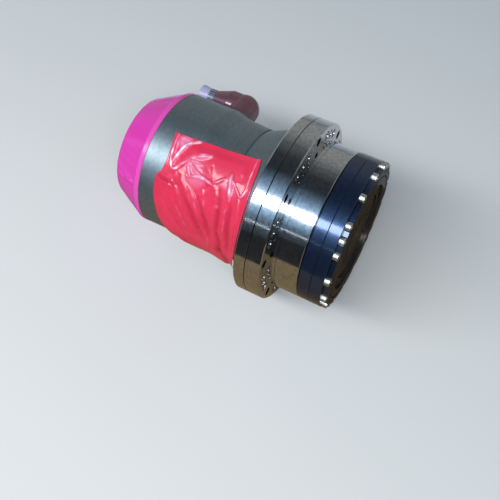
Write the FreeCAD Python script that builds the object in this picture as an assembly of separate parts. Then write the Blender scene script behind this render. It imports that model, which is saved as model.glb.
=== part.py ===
import FreeCAD, Part
import math
import os

# Strain wave gear servo unit, millimetres. The main axis is X, pointing out of the output face, and Z is up.
# The origin is the middle of the mounting flange's front face. Angles run from +Z towards +Y.

# Strain wave teeth
module = 1.15
cup_teeth = 100
ring_teeth = 102
tooth_len = 22.0
tooth_addendum = 0.8
tooth_dedendum = 1.05
flank_angle = 28.0
backlash = 0.15

# Toothed ring and the flange rings
ring_wall = 6.65
ring_rear_spigot = 5.0
ring_front_spigot = 11.0
spline_flange_t = 12.0
bearing_flange_t = 16.0
flange_rim = 16.5
hub_len = 31.5
hub_wall = 4.272
pilot_step = 0.5
pilot_len = 7.5
pilot_groove = 0.8
edge_break = 1.0
o_ring_dia = 1.8

# Flexible cup
cup_len = 63.0
cup_rim_t = 1.5
cup_wall_t = 0.9
cup_clear = 2.0
diaphragm_t = 1.4
cup_boss_dia = 74.0
cup_boss_t = 8.4
cup_bore_dia = 36.0
clamp_ring_t = 8.0

# Wave generator
wave_fit = 0.1
flex_bearing_width = 16.0
flex_ball_dia = 9.0
flex_ball_count = 23
flex_race_t = 1.45
flex_shoulder = 3.2
flex_cage_t = 2.8
flex_cage_width = 13.0
plug_t = 14.0
plug_bore_dia = 34.0
plug_relief_dia = 11.0
plug_relief_count = 6
hub_flange_dia = 56.0
hub_flange_t = 7.0
shaft_tip = 0.5
key_width = 8.0
key_height = 7.0
key_len = 14.0
key_setback = 4.0
end_flange_dia = 32.0
end_flange_t = 2.5

# Crossed roller output bearing
roller_dia = 8.0
roller_end_play = 0.2
roller_setback = 17.0
roller_play = 0.05
spacer_dia = 5.6
spacer_t = 1.1
spacer_play = 0.25
race_gap = 1.8
inner_ring_wall = 3.43
inner_ring_reach = 10.5
seal_width = 6.0
seal_height = 5.9
filling_plug_dia = 9.0
filling_plug_sink = 0.1

# Rotating output
output_gap = 0.5
output_ring_t = 12.3
output_plate_t = 12.2
boss_height = 5.6
boss_rim = 7.5
rim_groove_width = 1.6
rim_groove_depth = 1.0
face_rim = 8.3
pilot_bore_depth = 1.8
load_ledge = 11.0
well_depth = 1.2
output_hub_rim = 4.0
center_bore_dia = 30.0
center_cap_dia = 38.0
center_cap_t = 3.0

# Fasteners: threads, lengths, numbers and spacing; one turn carries the hole patterns round the axis
pattern_turn = -8.5
clamp_bolt_dia = 5.0
clamp_bolt_len = 20.0
clamp_bolt_step = 7.5
clamp_bolt_inset = 10.0
mount_hole_dia = 9.0
mount_hole_inset = 8.0
mount_hole_count = 8
output_bolt_dia = 5.0
output_bolt_len = 22.0
output_bolt_edge = 0.35
output_bolt_count = 16
extra_bolt_count = 4
extra_bolt_start = -33.75
load_hole_dia = 8.0
load_hole_depth = 8.5
load_hole_count = 12
inner_bolt_dia = 5.0
inner_bolt_len = 16.0
inner_bolt_count = 12
spline_bolt_dia = 6.0
spline_bolt_len = 28.0
spline_bolt_count = 12
motor_screw_dia = 5.0
motor_screw_len = 14.0
motor_screw_wall = 2.0
motor_screw_cover = 5.5
motor_screw_count = 8
hub_screw_dia = 4.0
hub_screw_len = 14.0
hub_screw_count = 6
end_screw_dia = 8.0
end_screw_len = 20.0
shield_screw_dia = 4.0
shield_screw_len = 12.0
shield_screw_count = 6
cover_screw_dia = 3.0
cover_screw_len = 9.0
base_screw_dia = 3.0
base_screw_len = 8.0
head_over = 1.0
sink_margin = 0.5
head_room = 0.5
shank_room = 0.25

# Motor housing
motor_wall = 10.5
motor_len = 127.2
shoulder_setback = 75.0
shoulder_len = 15.0
shoulder_drop = 3.8
waist_drop = 5.2
waist_groove_width = 2.0
waist_groove_depth = 0.8
flare_len = 33.0
shield_step = 5.5
front_bore_len = 16.0
rear_recess_wall = 5.5
rear_recess_depth = 6.0
rear_web_t = 15.2
stator_stop = 7.0
pad_margin = 3.0
pad_rise = 2.5

# Motor
stator_setback = 46.0
stator_len = 44.0
stator_inner_dia = 72.0
slot_count = 12
slot_mouth = 3.0
yoke_t = 9.0
tooth_width = 10.0
shoe_t = 3.0
coil_t = 3.4
coil_overhang = 5.0
coil_room = 0.3
air_gap = 1.0
magnet_t = 3.6
magnet_count = 10
magnet_arc = 31.0
rotor_hole_count = 6
rotor_hole_dia = 8.0
lead_dia = 2.4
lead_pitch = 2.8
lead_count = 3

# Shaft and its bearings
wave_seat_dia = 24.0
rotor_seat_dia = 36.0
rear_shoulder = 3.0
encoder_seat_dia = 12.0
front_bearing_setback = 18.0
front_bearing_width = 16.0
front_bearing_bore = 30.0
front_bearing_dia = 62.0
front_ball_dia = 9.5
front_ball_count = 9
rear_bearing_reach = 22.7
rear_bearing_width = 14.0
rear_bearing_bore = 20.0
rear_bearing_dia = 47.0
rear_ball_dia = 7.9
rear_ball_count = 8
race_land = 0.62
spring_t = 0.6
spring_rise = 2.2
spring_width = 5.0
shaft_seal_dia = 47.0
shaft_seal_width = 7.0
seal_lip_t = 2.0
seal_lip_height = 3.0
shield_web_t = 6.0
shield_wall = 6.0
shaft_clear = 1.0

# Encoder
encoder_disc_dia = 56.0
encoder_disc_t = 1.5
encoder_setback = 7.8
encoder_hub_dia = 18.0
encoder_hub_t = 6.0
encoder_air_gap = 0.5
reading_head = 12.0
reading_inset = 4.0
board_dia = 90.0
board_t = 1.6
board_setback = 18.8
shaft_to_board = 2.0
post_dia = 8.0
post_neck_dia = 5.0
post_inset = 3.0
post_count = 3
cover_dia = 109.0
cover_len = 32.0
cover_wall = 2.5

# Connector on the motor's side
connector_angle = 86.5
base_side = 37.0
base_t = 5.0
base_bore = 22.0
base_screw_inset = 4.0
spigot_wall = 2.0
spigot_h = 6.0
elbow_wall = 4.0
barrel_dia = 32.0
barrel_len = 39.0
barrel_straight = 18.0
barrel_bore = 14.0
barrel_wall = 1.5
insert_len = 14.0
contact_dia = 1.6
contact_count = 6
nut_t = 1.0
nut_len = 7.0
nut_flute_count = 18
flute_dia = 1.4
plug_cap_step = 0.7
plug_cap_len = 14.0
plug_cap_wall = 1.6

# Transport film over the rear end and the plastic pouch laid on the motor
film_t = 0.5
film_band = 5.0
pouch_t = 2.4
pouch_from_flange = 6.0
pouch_len = 96.0
pouch_top_angle = -13.5
pouch_bottom_angle = -116.5

# Clearances, and how far a cutter runs past a face
press_gap = 0.02
locate_gap = 0.03
running_gap = 0.05
soft_gap = 0.3
overcut = 1.0

V = FreeCAD.Vector
origin = V(0, 0, 0)
axis_x = V(1, 0, 0)
outward = V(0, 0, 1)


def head_dia(dia):
    """Socket head of a cap screw, by its thread."""
    return 1.5 * dia + head_over


# Radii of the teeth; the wave lifts the cup's rim by the difference of the pitch circles
cup_pitch_r = module * cup_teeth / 2
ring_pitch_r = module * ring_teeth / 2
wave_lift = ring_pitch_r - cup_pitch_r
cup_root_r = cup_pitch_r - tooth_dedendum * module
cup_inner_r = cup_root_r - cup_rim_t
cup_neutral_r = cup_root_r - cup_rim_t / 2
cup_wall_r = cup_inner_r + cup_wall_t
flex_outer_r = cup_inner_r - wave_fit
flex_pitch_r = flex_outer_r - flex_race_t - flex_ball_dia / 2
flex_bore_r = flex_pitch_r - flex_ball_dia / 2 - flex_race_t
wave_share = wave_lift / flex_outer_r

# Radii outward from the teeth to the flange's edge
ring_spigot_r = ring_pitch_r + tooth_dedendum * module + ring_wall
inner_bore_r = cup_wall_r + wave_lift + cup_clear
race_half = (roller_dia / 2 + roller_play) * math.sqrt(2)
roller_r = inner_bore_r + inner_ring_wall + race_half
outer_land_r = roller_r + race_gap / 2
inner_land_r = roller_r - race_gap / 2
seal_bore_r = inner_land_r + seal_height
hub_r = roller_r + race_half + hub_wall
pilot_r = hub_r + pilot_step
flange_r = pilot_r + flange_rim
clamp_bolt_pcd = 2 * (flange_r - clamp_bolt_inset)
mount_pcd = 2 * (flange_r - mount_hole_inset)
inner_bolt_pcd = inner_bore_r + inner_land_r

# Radii of the output face, from its rim inward
output_bolt_pcd = 2 * hub_r - head_dia(output_bolt_dia) - 2 * output_bolt_edge
boss_r = output_bolt_pcd / 2
groove_outer_r = boss_r - boss_rim
groove_inner_r = groove_outer_r - rim_groove_width
pilot_bore_r = groove_inner_r - face_rim
well_r = pilot_bore_r - load_ledge
load_pcd = pilot_bore_r + well_r
output_hub_r = cup_boss_dia / 2 + output_hub_rim
spline_bolt_pcd = (cup_boss_dia + cup_bore_dia) / 2

# Radii of the motor
stator_bore = 2 * (ring_spigot_r - shield_step)
motor_r = stator_bore / 2 + motor_wall
waist_r = motor_r - waist_drop
rear_bore_r = stator_bore / 2 - stator_stop
rear_recess_r = motor_r - rear_recess_wall
shield_screw_pcd = rear_bore_r + rear_recess_r
motor_screw_pcd = 2 * (ring_spigot_r + motor_screw_wall) + motor_screw_dia
flare_r = motor_screw_pcd / 2 + motor_screw_dia / 2 + motor_screw_cover
magnet_outer_r = stator_inner_dia / 2 - air_gap
magnet_inner_r = magnet_outer_r - magnet_t
hub_screw_pcd = (plug_bore_dia + hub_flange_dia) / 2
post_pcd = board_dia - post_dia - 2 * post_inset

# Stations along the axis, gear head
seam_x = -bearing_flange_t
flange_rear_x = seam_x - spline_flange_t
ring_rear_x = flange_rear_x - ring_rear_spigot
ring_front_x = seam_x + ring_front_spigot
tooth_mid_x = (ring_rear_x + ring_front_x) / 2
tooth_rear_x = tooth_mid_x - tooth_len / 2
tooth_front_x = tooth_mid_x + tooth_len / 2
plug_front_x = tooth_mid_x + plug_t / 2
plug_rear_x = tooth_mid_x - plug_t / 2
hub_rear_x = plug_rear_x - hub_flange_t
hub_front_x = plug_front_x + 2 * shaft_tip
cup_front_x = tooth_rear_x + cup_len
cup_back_x = cup_front_x - diaphragm_t
cup_seat_x = cup_back_x + cup_boss_t
clamp_ring_x = cup_back_x - clamp_ring_t
roller_x = hub_len - roller_setback
inner_ring_x = roller_x - inner_ring_reach
seal_rear_x = hub_len - seal_width
output_ring_x = hub_len + output_gap
output_seam_x = output_ring_x + output_ring_t
ledge_x = output_seam_x + output_plate_t
face_x = ledge_x + boss_height
pilot_floor_x = face_x - pilot_bore_depth
well_floor_x = pilot_floor_x - well_depth
o_ring_x = (flange_rear_x + ring_rear_x) / 2

# Stations along the axis, motor
motor_rear_x = flange_rear_x - motor_len
shoulder_x = flange_rear_x - shoulder_setback
waist_x = flange_rear_x - flare_len
flare_x = waist_x + waist_groove_width
shield_step_x = flange_rear_x - front_bore_len
stator_front_x = flange_rear_x - stator_setback
stator_rear_x = stator_front_x - stator_len
rear_plate_x = motor_rear_x + rear_recess_depth
stator_stop_x = rear_plate_x + rear_web_t
front_bearing_x = flange_rear_x - front_bearing_setback
front_bearing_rear_x = front_bearing_x - front_bearing_width
shaft_seal_x = front_bearing_x + seal_lip_t
rear_bearing_x = motor_rear_x + rear_bearing_reach
rear_bearing_rear_x = rear_bearing_x - rear_bearing_width
encoder_disc_x = motor_rear_x - encoder_setback
board_x = motor_rear_x - board_setback
shaft_rear_x = board_x + shaft_to_board
shaft_front_x = plug_front_x + shaft_tip
cover_rear_x = motor_rear_x - cover_len
cover_floor_x = cover_rear_x + cover_wall

# Leads and connector: places along the axis and heights above it
connector_x = stator_rear_x - 0.3 * coil_overhang
pad_h = motor_r + pad_rise
base_h = pad_h + base_t
elbow_foot_h = base_h + soft_gap
barrel_h = elbow_foot_h + barrel_dia / 2
spigot_dia = base_bore + 2 * spigot_wall
elbow_dia = spigot_dia + 2 * elbow_wall
neck_dia = barrel_bore + 2 * barrel_wall
nut_dia = neck_dia + 2 * nut_t
plug_cap_dia = nut_dia - 2 * plug_cap_step
barrel_end_x = connector_x - barrel_len
nut_front_x = barrel_end_x + 0.3 * nut_len
nut_rear_x = nut_front_x - nut_len


def at(x, r, angle):
    """Point at a station, radius and angle from +Z towards +Y."""
    a = math.radians(angle)
    return V(x, r * math.sin(a), r * math.cos(a))


def spread(count, start=0.0):
    """Evenly spaced angles round the axis."""
    return [start + 360.0 * k / count for k in range(count)]


def turn(profile, sweep=360.0):
    """Solid turned about the main axis from corners given as (x, radius)."""
    corners = [V(x, 0, r) for x, r in profile]
    face = Part.Face(Part.makePolygon(corners + corners[:1]))
    return face.revolve(origin, axis_x, sweep)


def rod(x0, x1, dia, r=0.0, angle=0.0):
    """Round bar along the axis."""
    return Part.makeCylinder(dia / 2, x1 - x0, at(x0, r, angle), axis_x)


def tube(x0, x1, outer_dia, inner_dia):
    return rod(x0, x1, outer_dia).cut(rod(x0, x1, inner_dia))


def rods(x0, x1, dia, pcd, angles):
    """Group of round bars on a circle."""
    return Part.makeCompound([rod(x0, x1, dia, pcd / 2, a) for a in angles])


def torus(x, r, section_dia):
    return Part.makeTorus(r, section_dia / 2, V(x, 0, 0), axis_x)


def balls(x, r, dia, count, share=0.0):
    """Ring of balls; the share stretches the ring along Z and narrows it along Y."""
    made = []
    for angle in spread(count):
        p = at(x, r, angle)
        made.append(Part.makeSphere(dia / 2, V(p.x, p.y * (1 - share), p.z * (1 + share))))
    return Part.makeCompound(made)


def prism(points, x0, x1):
    """Solid of a closed outline given as (y, z), along the axis."""
    corners = [V(x0, y, z) for y, z in points]
    return Part.Face(Part.makePolygon(corners + corners[:1])).extrude(V(x1 - x0, 0, 0))


def oval_wire(x, r, lift):
    """Ellipse across the axis, longest along Z; a circle where nothing lifts it."""
    if lift == 0:
        return Part.Wire(Part.Circle(V(x, 0, 0), axis_x, r).toShape())
    curve = Part.Ellipse(V(x, 0, r + lift), V(x, r - lift, 0), V(x, 0, 0))
    return Part.Wire(curve.toShape())


def oval(x0, x1, r, lift):
    return Part.Face(oval_wire(x0, r, lift)).extrude(V(x1 - x0, 0, 0))


def flexed(shape):
    """A round piece as the wave generator bends it."""
    stretch = FreeCAD.Matrix()
    stretch.scale(V(1, 1 - wave_share, 1 + wave_share))
    return shape.transformGeometry(stretch)


def upright_edges(shape):
    """The straight edges of a block that run outward from the axis."""
    return [e for e in shape.Edges if abs(e.tangentAt(e.FirstParameter).z) > 0.9]


def cap_screw(seat_x, dia, length, r, angle):
    """Socket head cap screw along the axis, with its head towards +X."""
    head = rod(seat_x, seat_x + dia, head_dia(dia), r, angle)
    shape = rod(seat_x - length, seat_x, dia, r, angle).fuse(head)
    corner = 0.5 * dia
    middle = at(0, r, angle)
    hexagon = []
    for k in range(6):
        a = math.radians(60 * k)
        hexagon.append((middle.y + corner * math.cos(a), middle.z + corner * math.sin(a)))
    return shape.cut(prism(hexagon, seat_x + 0.45 * dia, seat_x + dia))


def cap_screws(seat_x, length, dia, pcd, angles):
    return Part.makeCompound([cap_screw(seat_x, dia, length, pcd / 2, a) for a in angles])


def head_pockets(seat_x, open_x, dia, pcd, angles):
    """Room for the heads of a ring of cap screws."""
    return rods(seat_x, open_x, head_dia(dia) + 2 * head_room, pcd, angles)


def shank_holes(x0, x1, dia, pcd, angles):
    """Free holes for a ring of shanks."""
    return rods(x0, x1, dia + 2 * shank_room, pcd, angles)


def thread_holes(x0, x1, dia, pcd, angles):
    """Holes that a ring of screws is threaded into."""
    return rods(x0, x1, dia + 2 * press_gap, pcd, angles)


def groups_of_three():
    angles = []
    for a in spread(mount_hole_count, pattern_turn):
        angles += [a - clamp_bolt_step, a, a + clamp_bolt_step]
    return angles


mount_angles = spread(mount_hole_count, pattern_turn + 180.0 / mount_hole_count)
output_angles = spread(output_bolt_count, pattern_turn)
output_angles += spread(extra_bolt_count, pattern_turn + extra_bolt_start)
post_angles = spread(post_count)

# Sets of screws: thread, circle and angles
clamp_set = (clamp_bolt_dia, clamp_bolt_pcd, groups_of_three())
motor_set = (motor_screw_dia, motor_screw_pcd, spread(motor_screw_count, 180.0 / motor_screw_count))
output_set = (output_bolt_dia, output_bolt_pcd, output_angles)
inner_set = (inner_bolt_dia, inner_bolt_pcd, spread(inner_bolt_count))
spline_set = (spline_bolt_dia, spline_bolt_pcd, spread(spline_bolt_count))
hub_set = (hub_screw_dia, hub_screw_pcd, spread(hub_screw_count, 180.0 / hub_screw_count))
shield_set = (shield_screw_dia, shield_screw_pcd, spread(shield_screw_count))
cover_set = (cover_screw_dia, post_pcd, post_angles)

# Seats under the screws' heads
clamp_seat_x = -clamp_bolt_dia - sink_margin
motor_seat_x = seam_x - motor_screw_dia - sink_margin
inner_seat_x = output_seam_x - inner_bolt_dia - sink_margin
spline_seat_x = well_floor_x - spline_bolt_dia - sink_margin
hub_seat_x = plug_front_x - hub_screw_dia - sink_margin
shield_seat_x = motor_rear_x + shield_screw_dia + sink_margin
cover_seat_x = cover_rear_x + cover_wall / 2


def clamp_bolts():
    return cap_screws(clamp_seat_x, clamp_bolt_len, *clamp_set)


def mount_hole_rods():
    return rods(flange_rear_x - overcut, overcut, mount_hole_dia, mount_pcd, mount_angles)


def tooth_outline(pitch_r, half, low, high):
    """One trapezoid of a tooth or a gap, as (height, half width) corners from its left foot."""
    slope = math.tan(math.radians(flank_angle))
    corners = []
    for u, side in ((low, -1), (high, -1), (high, 1), (low, 1)):
        corners.append((pitch_r + u, side * (half - u * slope)))
    return corners


def ring_tooth_space():
    """The space inside the toothed ring, with a trapezoid gap for each tooth."""
    gap = tooth_outline(ring_pitch_r, math.pi * module / 4 + backlash / 2, -tooth_addendum * module,
                        tooth_dedendum * module)
    outline = []
    for angle in spread(ring_teeth):
        a = math.radians(angle)
        for r, t in gap:
            outline.append((r * math.sin(a) + t * math.cos(a), r * math.cos(a) - t * math.sin(a)))
    return prism(outline, ring_rear_x - overcut, ring_front_x + overcut)


def cup_tooth_ring():
    """The cup's rim with its teeth, each carried and tilted by the wave."""
    tooth = tooth_outline(cup_pitch_r - cup_neutral_r, math.pi * module / 4 - backlash / 2,
                          -tooth_dedendum * module, tooth_addendum * module)
    outline = []
    for angle in spread(cup_teeth):
        f = math.radians(angle)
        radial = cup_neutral_r + wave_lift * math.cos(2 * f)
        along = -wave_lift / 2 * math.sin(2 * f)
        lean = f + 1.5 * wave_lift * math.sin(2 * f) / cup_neutral_r
        y = radial * math.sin(f) + along * math.cos(f)
        z = radial * math.cos(f) - along * math.sin(f)
        for u, t in tooth:
            sideways = u * math.sin(lean) + t * math.cos(lean)
            upward = u * math.cos(lean) - t * math.sin(lean)
            outline.append((y + sideways, z + upward))
    return prism(outline, tooth_rear_x, tooth_front_x)


def circular_spline():
    """Rear flange ring with the fixed internal teeth and a spigot on each side."""
    spigot_r = ring_spigot_r - locate_gap
    body = turn([(ring_rear_x, 0), (ring_rear_x, spigot_r), (flange_rear_x, spigot_r),
                 (flange_rear_x, flange_r - edge_break), (flange_rear_x + edge_break, flange_r),
                 (seam_x - edge_break / 2, flange_r), (seam_x, flange_r - edge_break / 2), (seam_x, spigot_r),
                 (ring_front_x, spigot_r), (ring_front_x, 0)])
    body = body.cut(ring_tooth_space()).cut(mount_hole_rods())
    body = body.cut(thread_holes(clamp_seat_x - clamp_bolt_len - overcut, seam_x + overcut, *clamp_set))
    body = body.cut(head_pockets(motor_seat_x, seam_x + overcut, *motor_set))
    body = body.cut(shank_holes(flange_rear_x - overcut, motor_seat_x, *motor_set))
    groove = tube(o_ring_x - 0.6 * o_ring_dia, o_ring_x + 0.6 * o_ring_dia, 2 * ring_spigot_r + overcut,
                  2 * (ring_spigot_r - o_ring_dia) - 2 * press_gap)
    return body.cut(groove)


def motor_screw_set():
    return cap_screws(motor_seat_x, motor_screw_len, *motor_set)


def housing_o_ring():
    return torus(o_ring_x, ring_spigot_r - o_ring_dia / 2 - press_gap, o_ring_dia - 2 * press_gap)


def race_space():
    """Ring of square section on its corner that the crossed rollers run in."""
    return turn([(roller_x - race_half, roller_r), (roller_x, roller_r + race_half),
                 (roller_x + race_half, roller_r), (roller_x, roller_r - race_half)])


def bearing_outer_ring():
    """Front flange ring with its pilot collar and hub, and the outer half of the roller race."""
    groove_r = hub_r - pilot_groove
    groove_x = pilot_len + pilot_groove
    body = turn([(seam_x, ring_spigot_r), (seam_x, flange_r - edge_break / 2),
                 (seam_x + edge_break / 2, flange_r), (-edge_break, flange_r), (0, flange_r - edge_break),
                 (0, pilot_r), (pilot_len, pilot_r), (pilot_len, groove_r), (groove_x, groove_r),
                 (groove_x, hub_r), (hub_len - edge_break, hub_r), (hub_len, hub_r - edge_break),
                 (hub_len, seal_bore_r), (seal_rear_x, seal_bore_r), (seal_rear_x, outer_land_r),
                 (inner_ring_x - output_gap, outer_land_r), (ring_front_x + output_gap, ring_spigot_r)])
    body = body.cut(race_space()).cut(mount_hole_rods()).cut(filling_hole())
    body = body.cut(head_pockets(clamp_seat_x, overcut, *clamp_set))
    return body.cut(shank_holes(seam_x - overcut, clamp_seat_x, *clamp_set))


def filling_hole():
    """Radial hole that the rollers go in through, on the underside of the hub."""
    return Part.makeCylinder(filling_plug_dia / 2, hub_r - roller_r, V(roller_x, 0, -hub_r), outward)


def roller_filling_plug():
    """Plug that closes the filling hole, with the race cut through its inner end."""
    plug = Part.makeCylinder(filling_plug_dia / 2 - press_gap, hub_r - roller_r, V(roller_x, 0, -hub_r),
                             outward)
    return plug.common(tube(0, hub_len, 2 * (hub_r - filling_plug_sink), 2 * outer_land_r)).cut(race_space())


def bearing_inner_ring():
    """Inner race, bolted to the rotating output ring."""
    body = turn([(inner_ring_x, inner_bore_r), (inner_ring_x, inner_land_r - edge_break),
                 (inner_ring_x + edge_break, inner_land_r), (output_ring_x, inner_land_r),
                 (output_ring_x, inner_bore_r)])
    body = body.cut(race_space())
    tip_x = inner_seat_x - inner_bolt_len
    return body.cut(thread_holes(tip_x - overcut, output_ring_x + overcut, *inner_set))


def roller_count():
    """As many pairs of rollers as the race has room for."""
    return 2 * int(math.pi * roller_r / (roller_dia + spacer_t + 2 * spacer_play))


def crossed_rollers():
    """Rollers lying alternately at plus and minus 45 degrees."""
    length = roller_dia - 2 * roller_end_play
    made = []
    for k, angle in enumerate(spread(roller_count())):
        roller = Part.makeCylinder(roller_dia / 2, length, V(-length / 2, 0, 0), axis_x)
        roller.rotate(origin, V(0, 1, 0), 45 if k % 2 else -45)
        roller.translate(V(roller_x, 0, roller_r))
        roller.rotate(origin, axis_x, -angle)
        made.append(roller)
    return Part.makeCompound(made)


def roller_spacers():
    """Thin discs that keep neighbouring rollers apart."""
    count = roller_count()
    made = []
    for angle in spread(count, 180.0 / count):
        disc = Part.makeCylinder(spacer_dia / 2, spacer_t, V(roller_x, -spacer_t / 2, roller_r), V(0, 1, 0))
        disc.rotate(origin, axis_x, -angle)
        made.append(disc)
    return Part.makeCompound(made)


def lip_seal(x0, x1, outer_r, shaft_r):
    """Radial shaft seal: a cased ring with a lip leaning along the shaft."""
    lip_r = shaft_r + 2 * running_gap
    wall = 0.2 * (x1 - x0)
    rise = 0.2 * (outer_r - lip_r)
    mid_x = (x0 + x1) / 2
    return turn([(x0, outer_r), (x1, outer_r), (x1, lip_r + rise), (x1 - wall, lip_r + rise),
                 (mid_x, lip_r + 2 * rise), (mid_x, outer_r - rise), (x0 + wall, outer_r - rise),
                 (x0 + wall, lip_r), (x0, lip_r + rise)])


def output_seal():
    return lip_seal(seal_rear_x, hub_len, seal_bore_r - press_gap, inner_land_r)


def output_ring():
    """First dark ring, bolted to the inner race."""
    body = turn([(output_ring_x, inner_bore_r), (output_ring_x, hub_r - edge_break),
                 (output_ring_x + edge_break, hub_r), (output_seam_x - edge_break / 2, hub_r),
                 (output_seam_x, hub_r - edge_break / 2), (output_seam_x, inner_bore_r)])
    body = body.cut(head_pockets(inner_seat_x, output_seam_x + overcut, *inner_set))
    body = body.cut(shank_holes(output_ring_x - overcut, inner_seat_x, *inner_set))
    return body.cut(thread_holes(ledge_x - output_bolt_len - overcut, output_seam_x + overcut, *output_set))


def inner_bolt_set():
    return cap_screws(inner_seat_x, inner_bolt_len, *inner_set)


def output_plate():
    """Second dark ring with the raised boss, the load's pilot recess and the well over the cup's bolts."""
    cap_x = well_floor_x - center_cap_t
    body = turn([(output_seam_x, output_hub_r), (output_seam_x, hub_r - edge_break / 2),
                 (output_seam_x + edge_break / 2, hub_r), (ledge_x - edge_break / 2, hub_r),
                 (ledge_x, hub_r - edge_break / 2), (ledge_x, boss_r), (face_x - edge_break / 2, boss_r),
                 (face_x, boss_r - edge_break / 2), (face_x, groove_outer_r),
                 (face_x - rim_groove_depth, groove_outer_r), (face_x - rim_groove_depth, groove_inner_r),
                 (face_x, groove_inner_r), (face_x, pilot_bore_r), (pilot_floor_x, pilot_bore_r),
                 (pilot_floor_x, well_r), (well_floor_x, well_r), (well_floor_x, center_cap_dia / 2),
                 (cap_x, center_cap_dia / 2), (cap_x, center_bore_dia / 2), (cup_seat_x, center_bore_dia / 2),
                 (cup_seat_x, output_hub_r)])
    body = body.cut(head_pockets(ledge_x, face_x + overcut, *output_set))
    body = body.cut(shank_holes(output_seam_x - overcut, ledge_x, *output_set))
    body = body.cut(rods(pilot_floor_x - load_hole_depth, pilot_floor_x + overcut, load_hole_dia, load_pcd,
                         spread(load_hole_count)))
    body = body.cut(head_pockets(spline_seat_x, well_floor_x + overcut, *spline_set))
    return body.cut(shank_holes(cup_seat_x - overcut, spline_seat_x, *spline_set))


def output_bolt_set():
    return cap_screws(ledge_x, output_bolt_len, *output_set)


def center_cap():
    """Flanged plug that closes the middle of the output plate."""
    flange = center_cap_dia / 2 - locate_gap
    stem = center_bore_dia / 2 - locate_gap
    step_x = well_floor_x - center_cap_t
    return turn([(cup_seat_x, 0), (cup_seat_x, stem - edge_break), (cup_seat_x + edge_break, stem),
                 (step_x, stem), (step_x, flange), (well_floor_x - edge_break / 2, flange),
                 (well_floor_x, flange - edge_break / 2), (well_floor_x, 0)])


def cup_wall_loft(r):
    """Solid that fades from the ellipse at the teeth to a circle at the diaphragm."""
    return Part.makeLoft([oval_wire(tooth_front_x, r, wave_lift), oval_wire(cup_back_x, r, 0)], True, True)


def flexspline():
    """Thin cup: toothed open rim bent to the wave, wall fading to round, diaphragm and bolted boss."""
    rim = cup_tooth_ring().cut(oval(tooth_rear_x - overcut, tooth_front_x + overcut, cup_inner_r, wave_lift))
    wall = cup_wall_loft(cup_wall_r).cut(cup_wall_loft(cup_inner_r))
    boss = cup_boss_dia / 2
    bore = cup_bore_dia / 2
    end = turn([(cup_back_x, bore), (cup_back_x, cup_wall_r), (cup_front_x - diaphragm_t / 3, cup_wall_r),
                (cup_front_x, cup_wall_r - diaphragm_t / 2), (cup_front_x, boss + diaphragm_t),
                (cup_front_x + diaphragm_t, boss), (cup_seat_x, boss), (cup_seat_x, bore)])
    end = end.cut(shank_holes(cup_back_x - overcut, cup_seat_x + overcut, *spline_set))
    return rim.fuse(wall).fuse(end)


def flexspline_clamp_ring():
    """Threaded ring inside the cup that the cup's bolts draw against."""
    ring = tube(clamp_ring_x, cup_back_x, cup_boss_dia - 2 * diaphragm_t, cup_bore_dia)
    return ring.cut(thread_holes(clamp_ring_x - overcut, cup_back_x + overcut, *spline_set))


def spline_bolt_set():
    return cap_screws(spline_seat_x, spline_bolt_len, *spline_set)


def wave_plug():
    """Elliptical plug that bends the flexible bearing."""
    r = flex_bore_r - press_gap
    body = oval(plug_rear_x, plug_front_x, r, r * wave_share)
    body = body.cut(rod(plug_rear_x, plug_front_x, plug_bore_dia))
    body = body.cut(head_pockets(hub_seat_x, plug_front_x + overcut, *hub_set))
    body = body.cut(shank_holes(plug_rear_x - overcut, hub_seat_x, *hub_set))
    relief_pcd = hub_flange_dia / 2 + flex_bore_r
    return body.cut(rods(plug_rear_x - overcut, plug_front_x + overcut, plug_relief_dia, relief_pcd,
                         spread(plug_relief_count)))


key_rear_x = shaft_front_x - key_setback - key_len
key_base = wave_seat_dia / 2 - 0.55 * key_height


def key_block(gap):
    """The key, or with a gap the room that it needs."""
    return Part.makeBox(key_len + 2 * gap, key_width + 2 * gap, key_height + 2 * gap,
                        V(key_rear_x - gap, -key_width / 2 - gap, key_base - gap))


def wave_hub():
    """Flanged sleeve, keyed on the shaft, that the plug is screwed to."""
    sleeve = tube(hub_rear_x, hub_front_x, plug_bore_dia - 2 * locate_gap, wave_seat_dia + 2 * locate_gap)
    flange = tube(hub_rear_x, plug_rear_x, hub_flange_dia, (plug_bore_dia + wave_seat_dia) / 2)
    slot = Part.makeBox(hub_front_x - hub_rear_x, key_width + 2 * locate_gap,
                        key_base + key_height + locate_gap,
                        V(hub_rear_x, -key_width / 2 - locate_gap, 0))
    body = sleeve.fuse(flange).cut(slot)
    return body.cut(thread_holes(hub_rear_x - overcut, plug_rear_x + overcut, *hub_set))


def hub_screw_set():
    return cap_screws(hub_seat_x, hub_screw_len, *hub_set)


def shaft_end_screw():
    """Flanged screw that draws the hub onto the shaft's shoulder."""
    flange = rod(hub_front_x, hub_front_x + end_flange_t, end_flange_dia)
    return flange.fuse(cap_screw(hub_front_x + end_flange_t, end_screw_dia, end_screw_len, 0, 0))


def flex_groove():
    """Ring that the balls of the flexible bearing run in, with room for its own bending."""
    return torus(tooth_mid_x, flex_pitch_r, flex_ball_dia * (1 + 1.3 * wave_share))


def flex_ring(width, outer_r, inner_r):
    return tube(tooth_mid_x - width / 2, tooth_mid_x + width / 2, 2 * outer_r, 2 * inner_r)


def flex_bearing_inner_race():
    return flexed(flex_ring(flex_bearing_width, flex_pitch_r - flex_shoulder, flex_bore_r).cut(flex_groove()))


def flex_bearing_outer_race():
    return flexed(flex_ring(flex_bearing_width, flex_outer_r,
                            flex_pitch_r + flex_shoulder).cut(flex_groove()))


def flex_bearing_balls():
    return balls(tooth_mid_x, flex_pitch_r, flex_ball_dia, flex_ball_count, wave_share)


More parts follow.
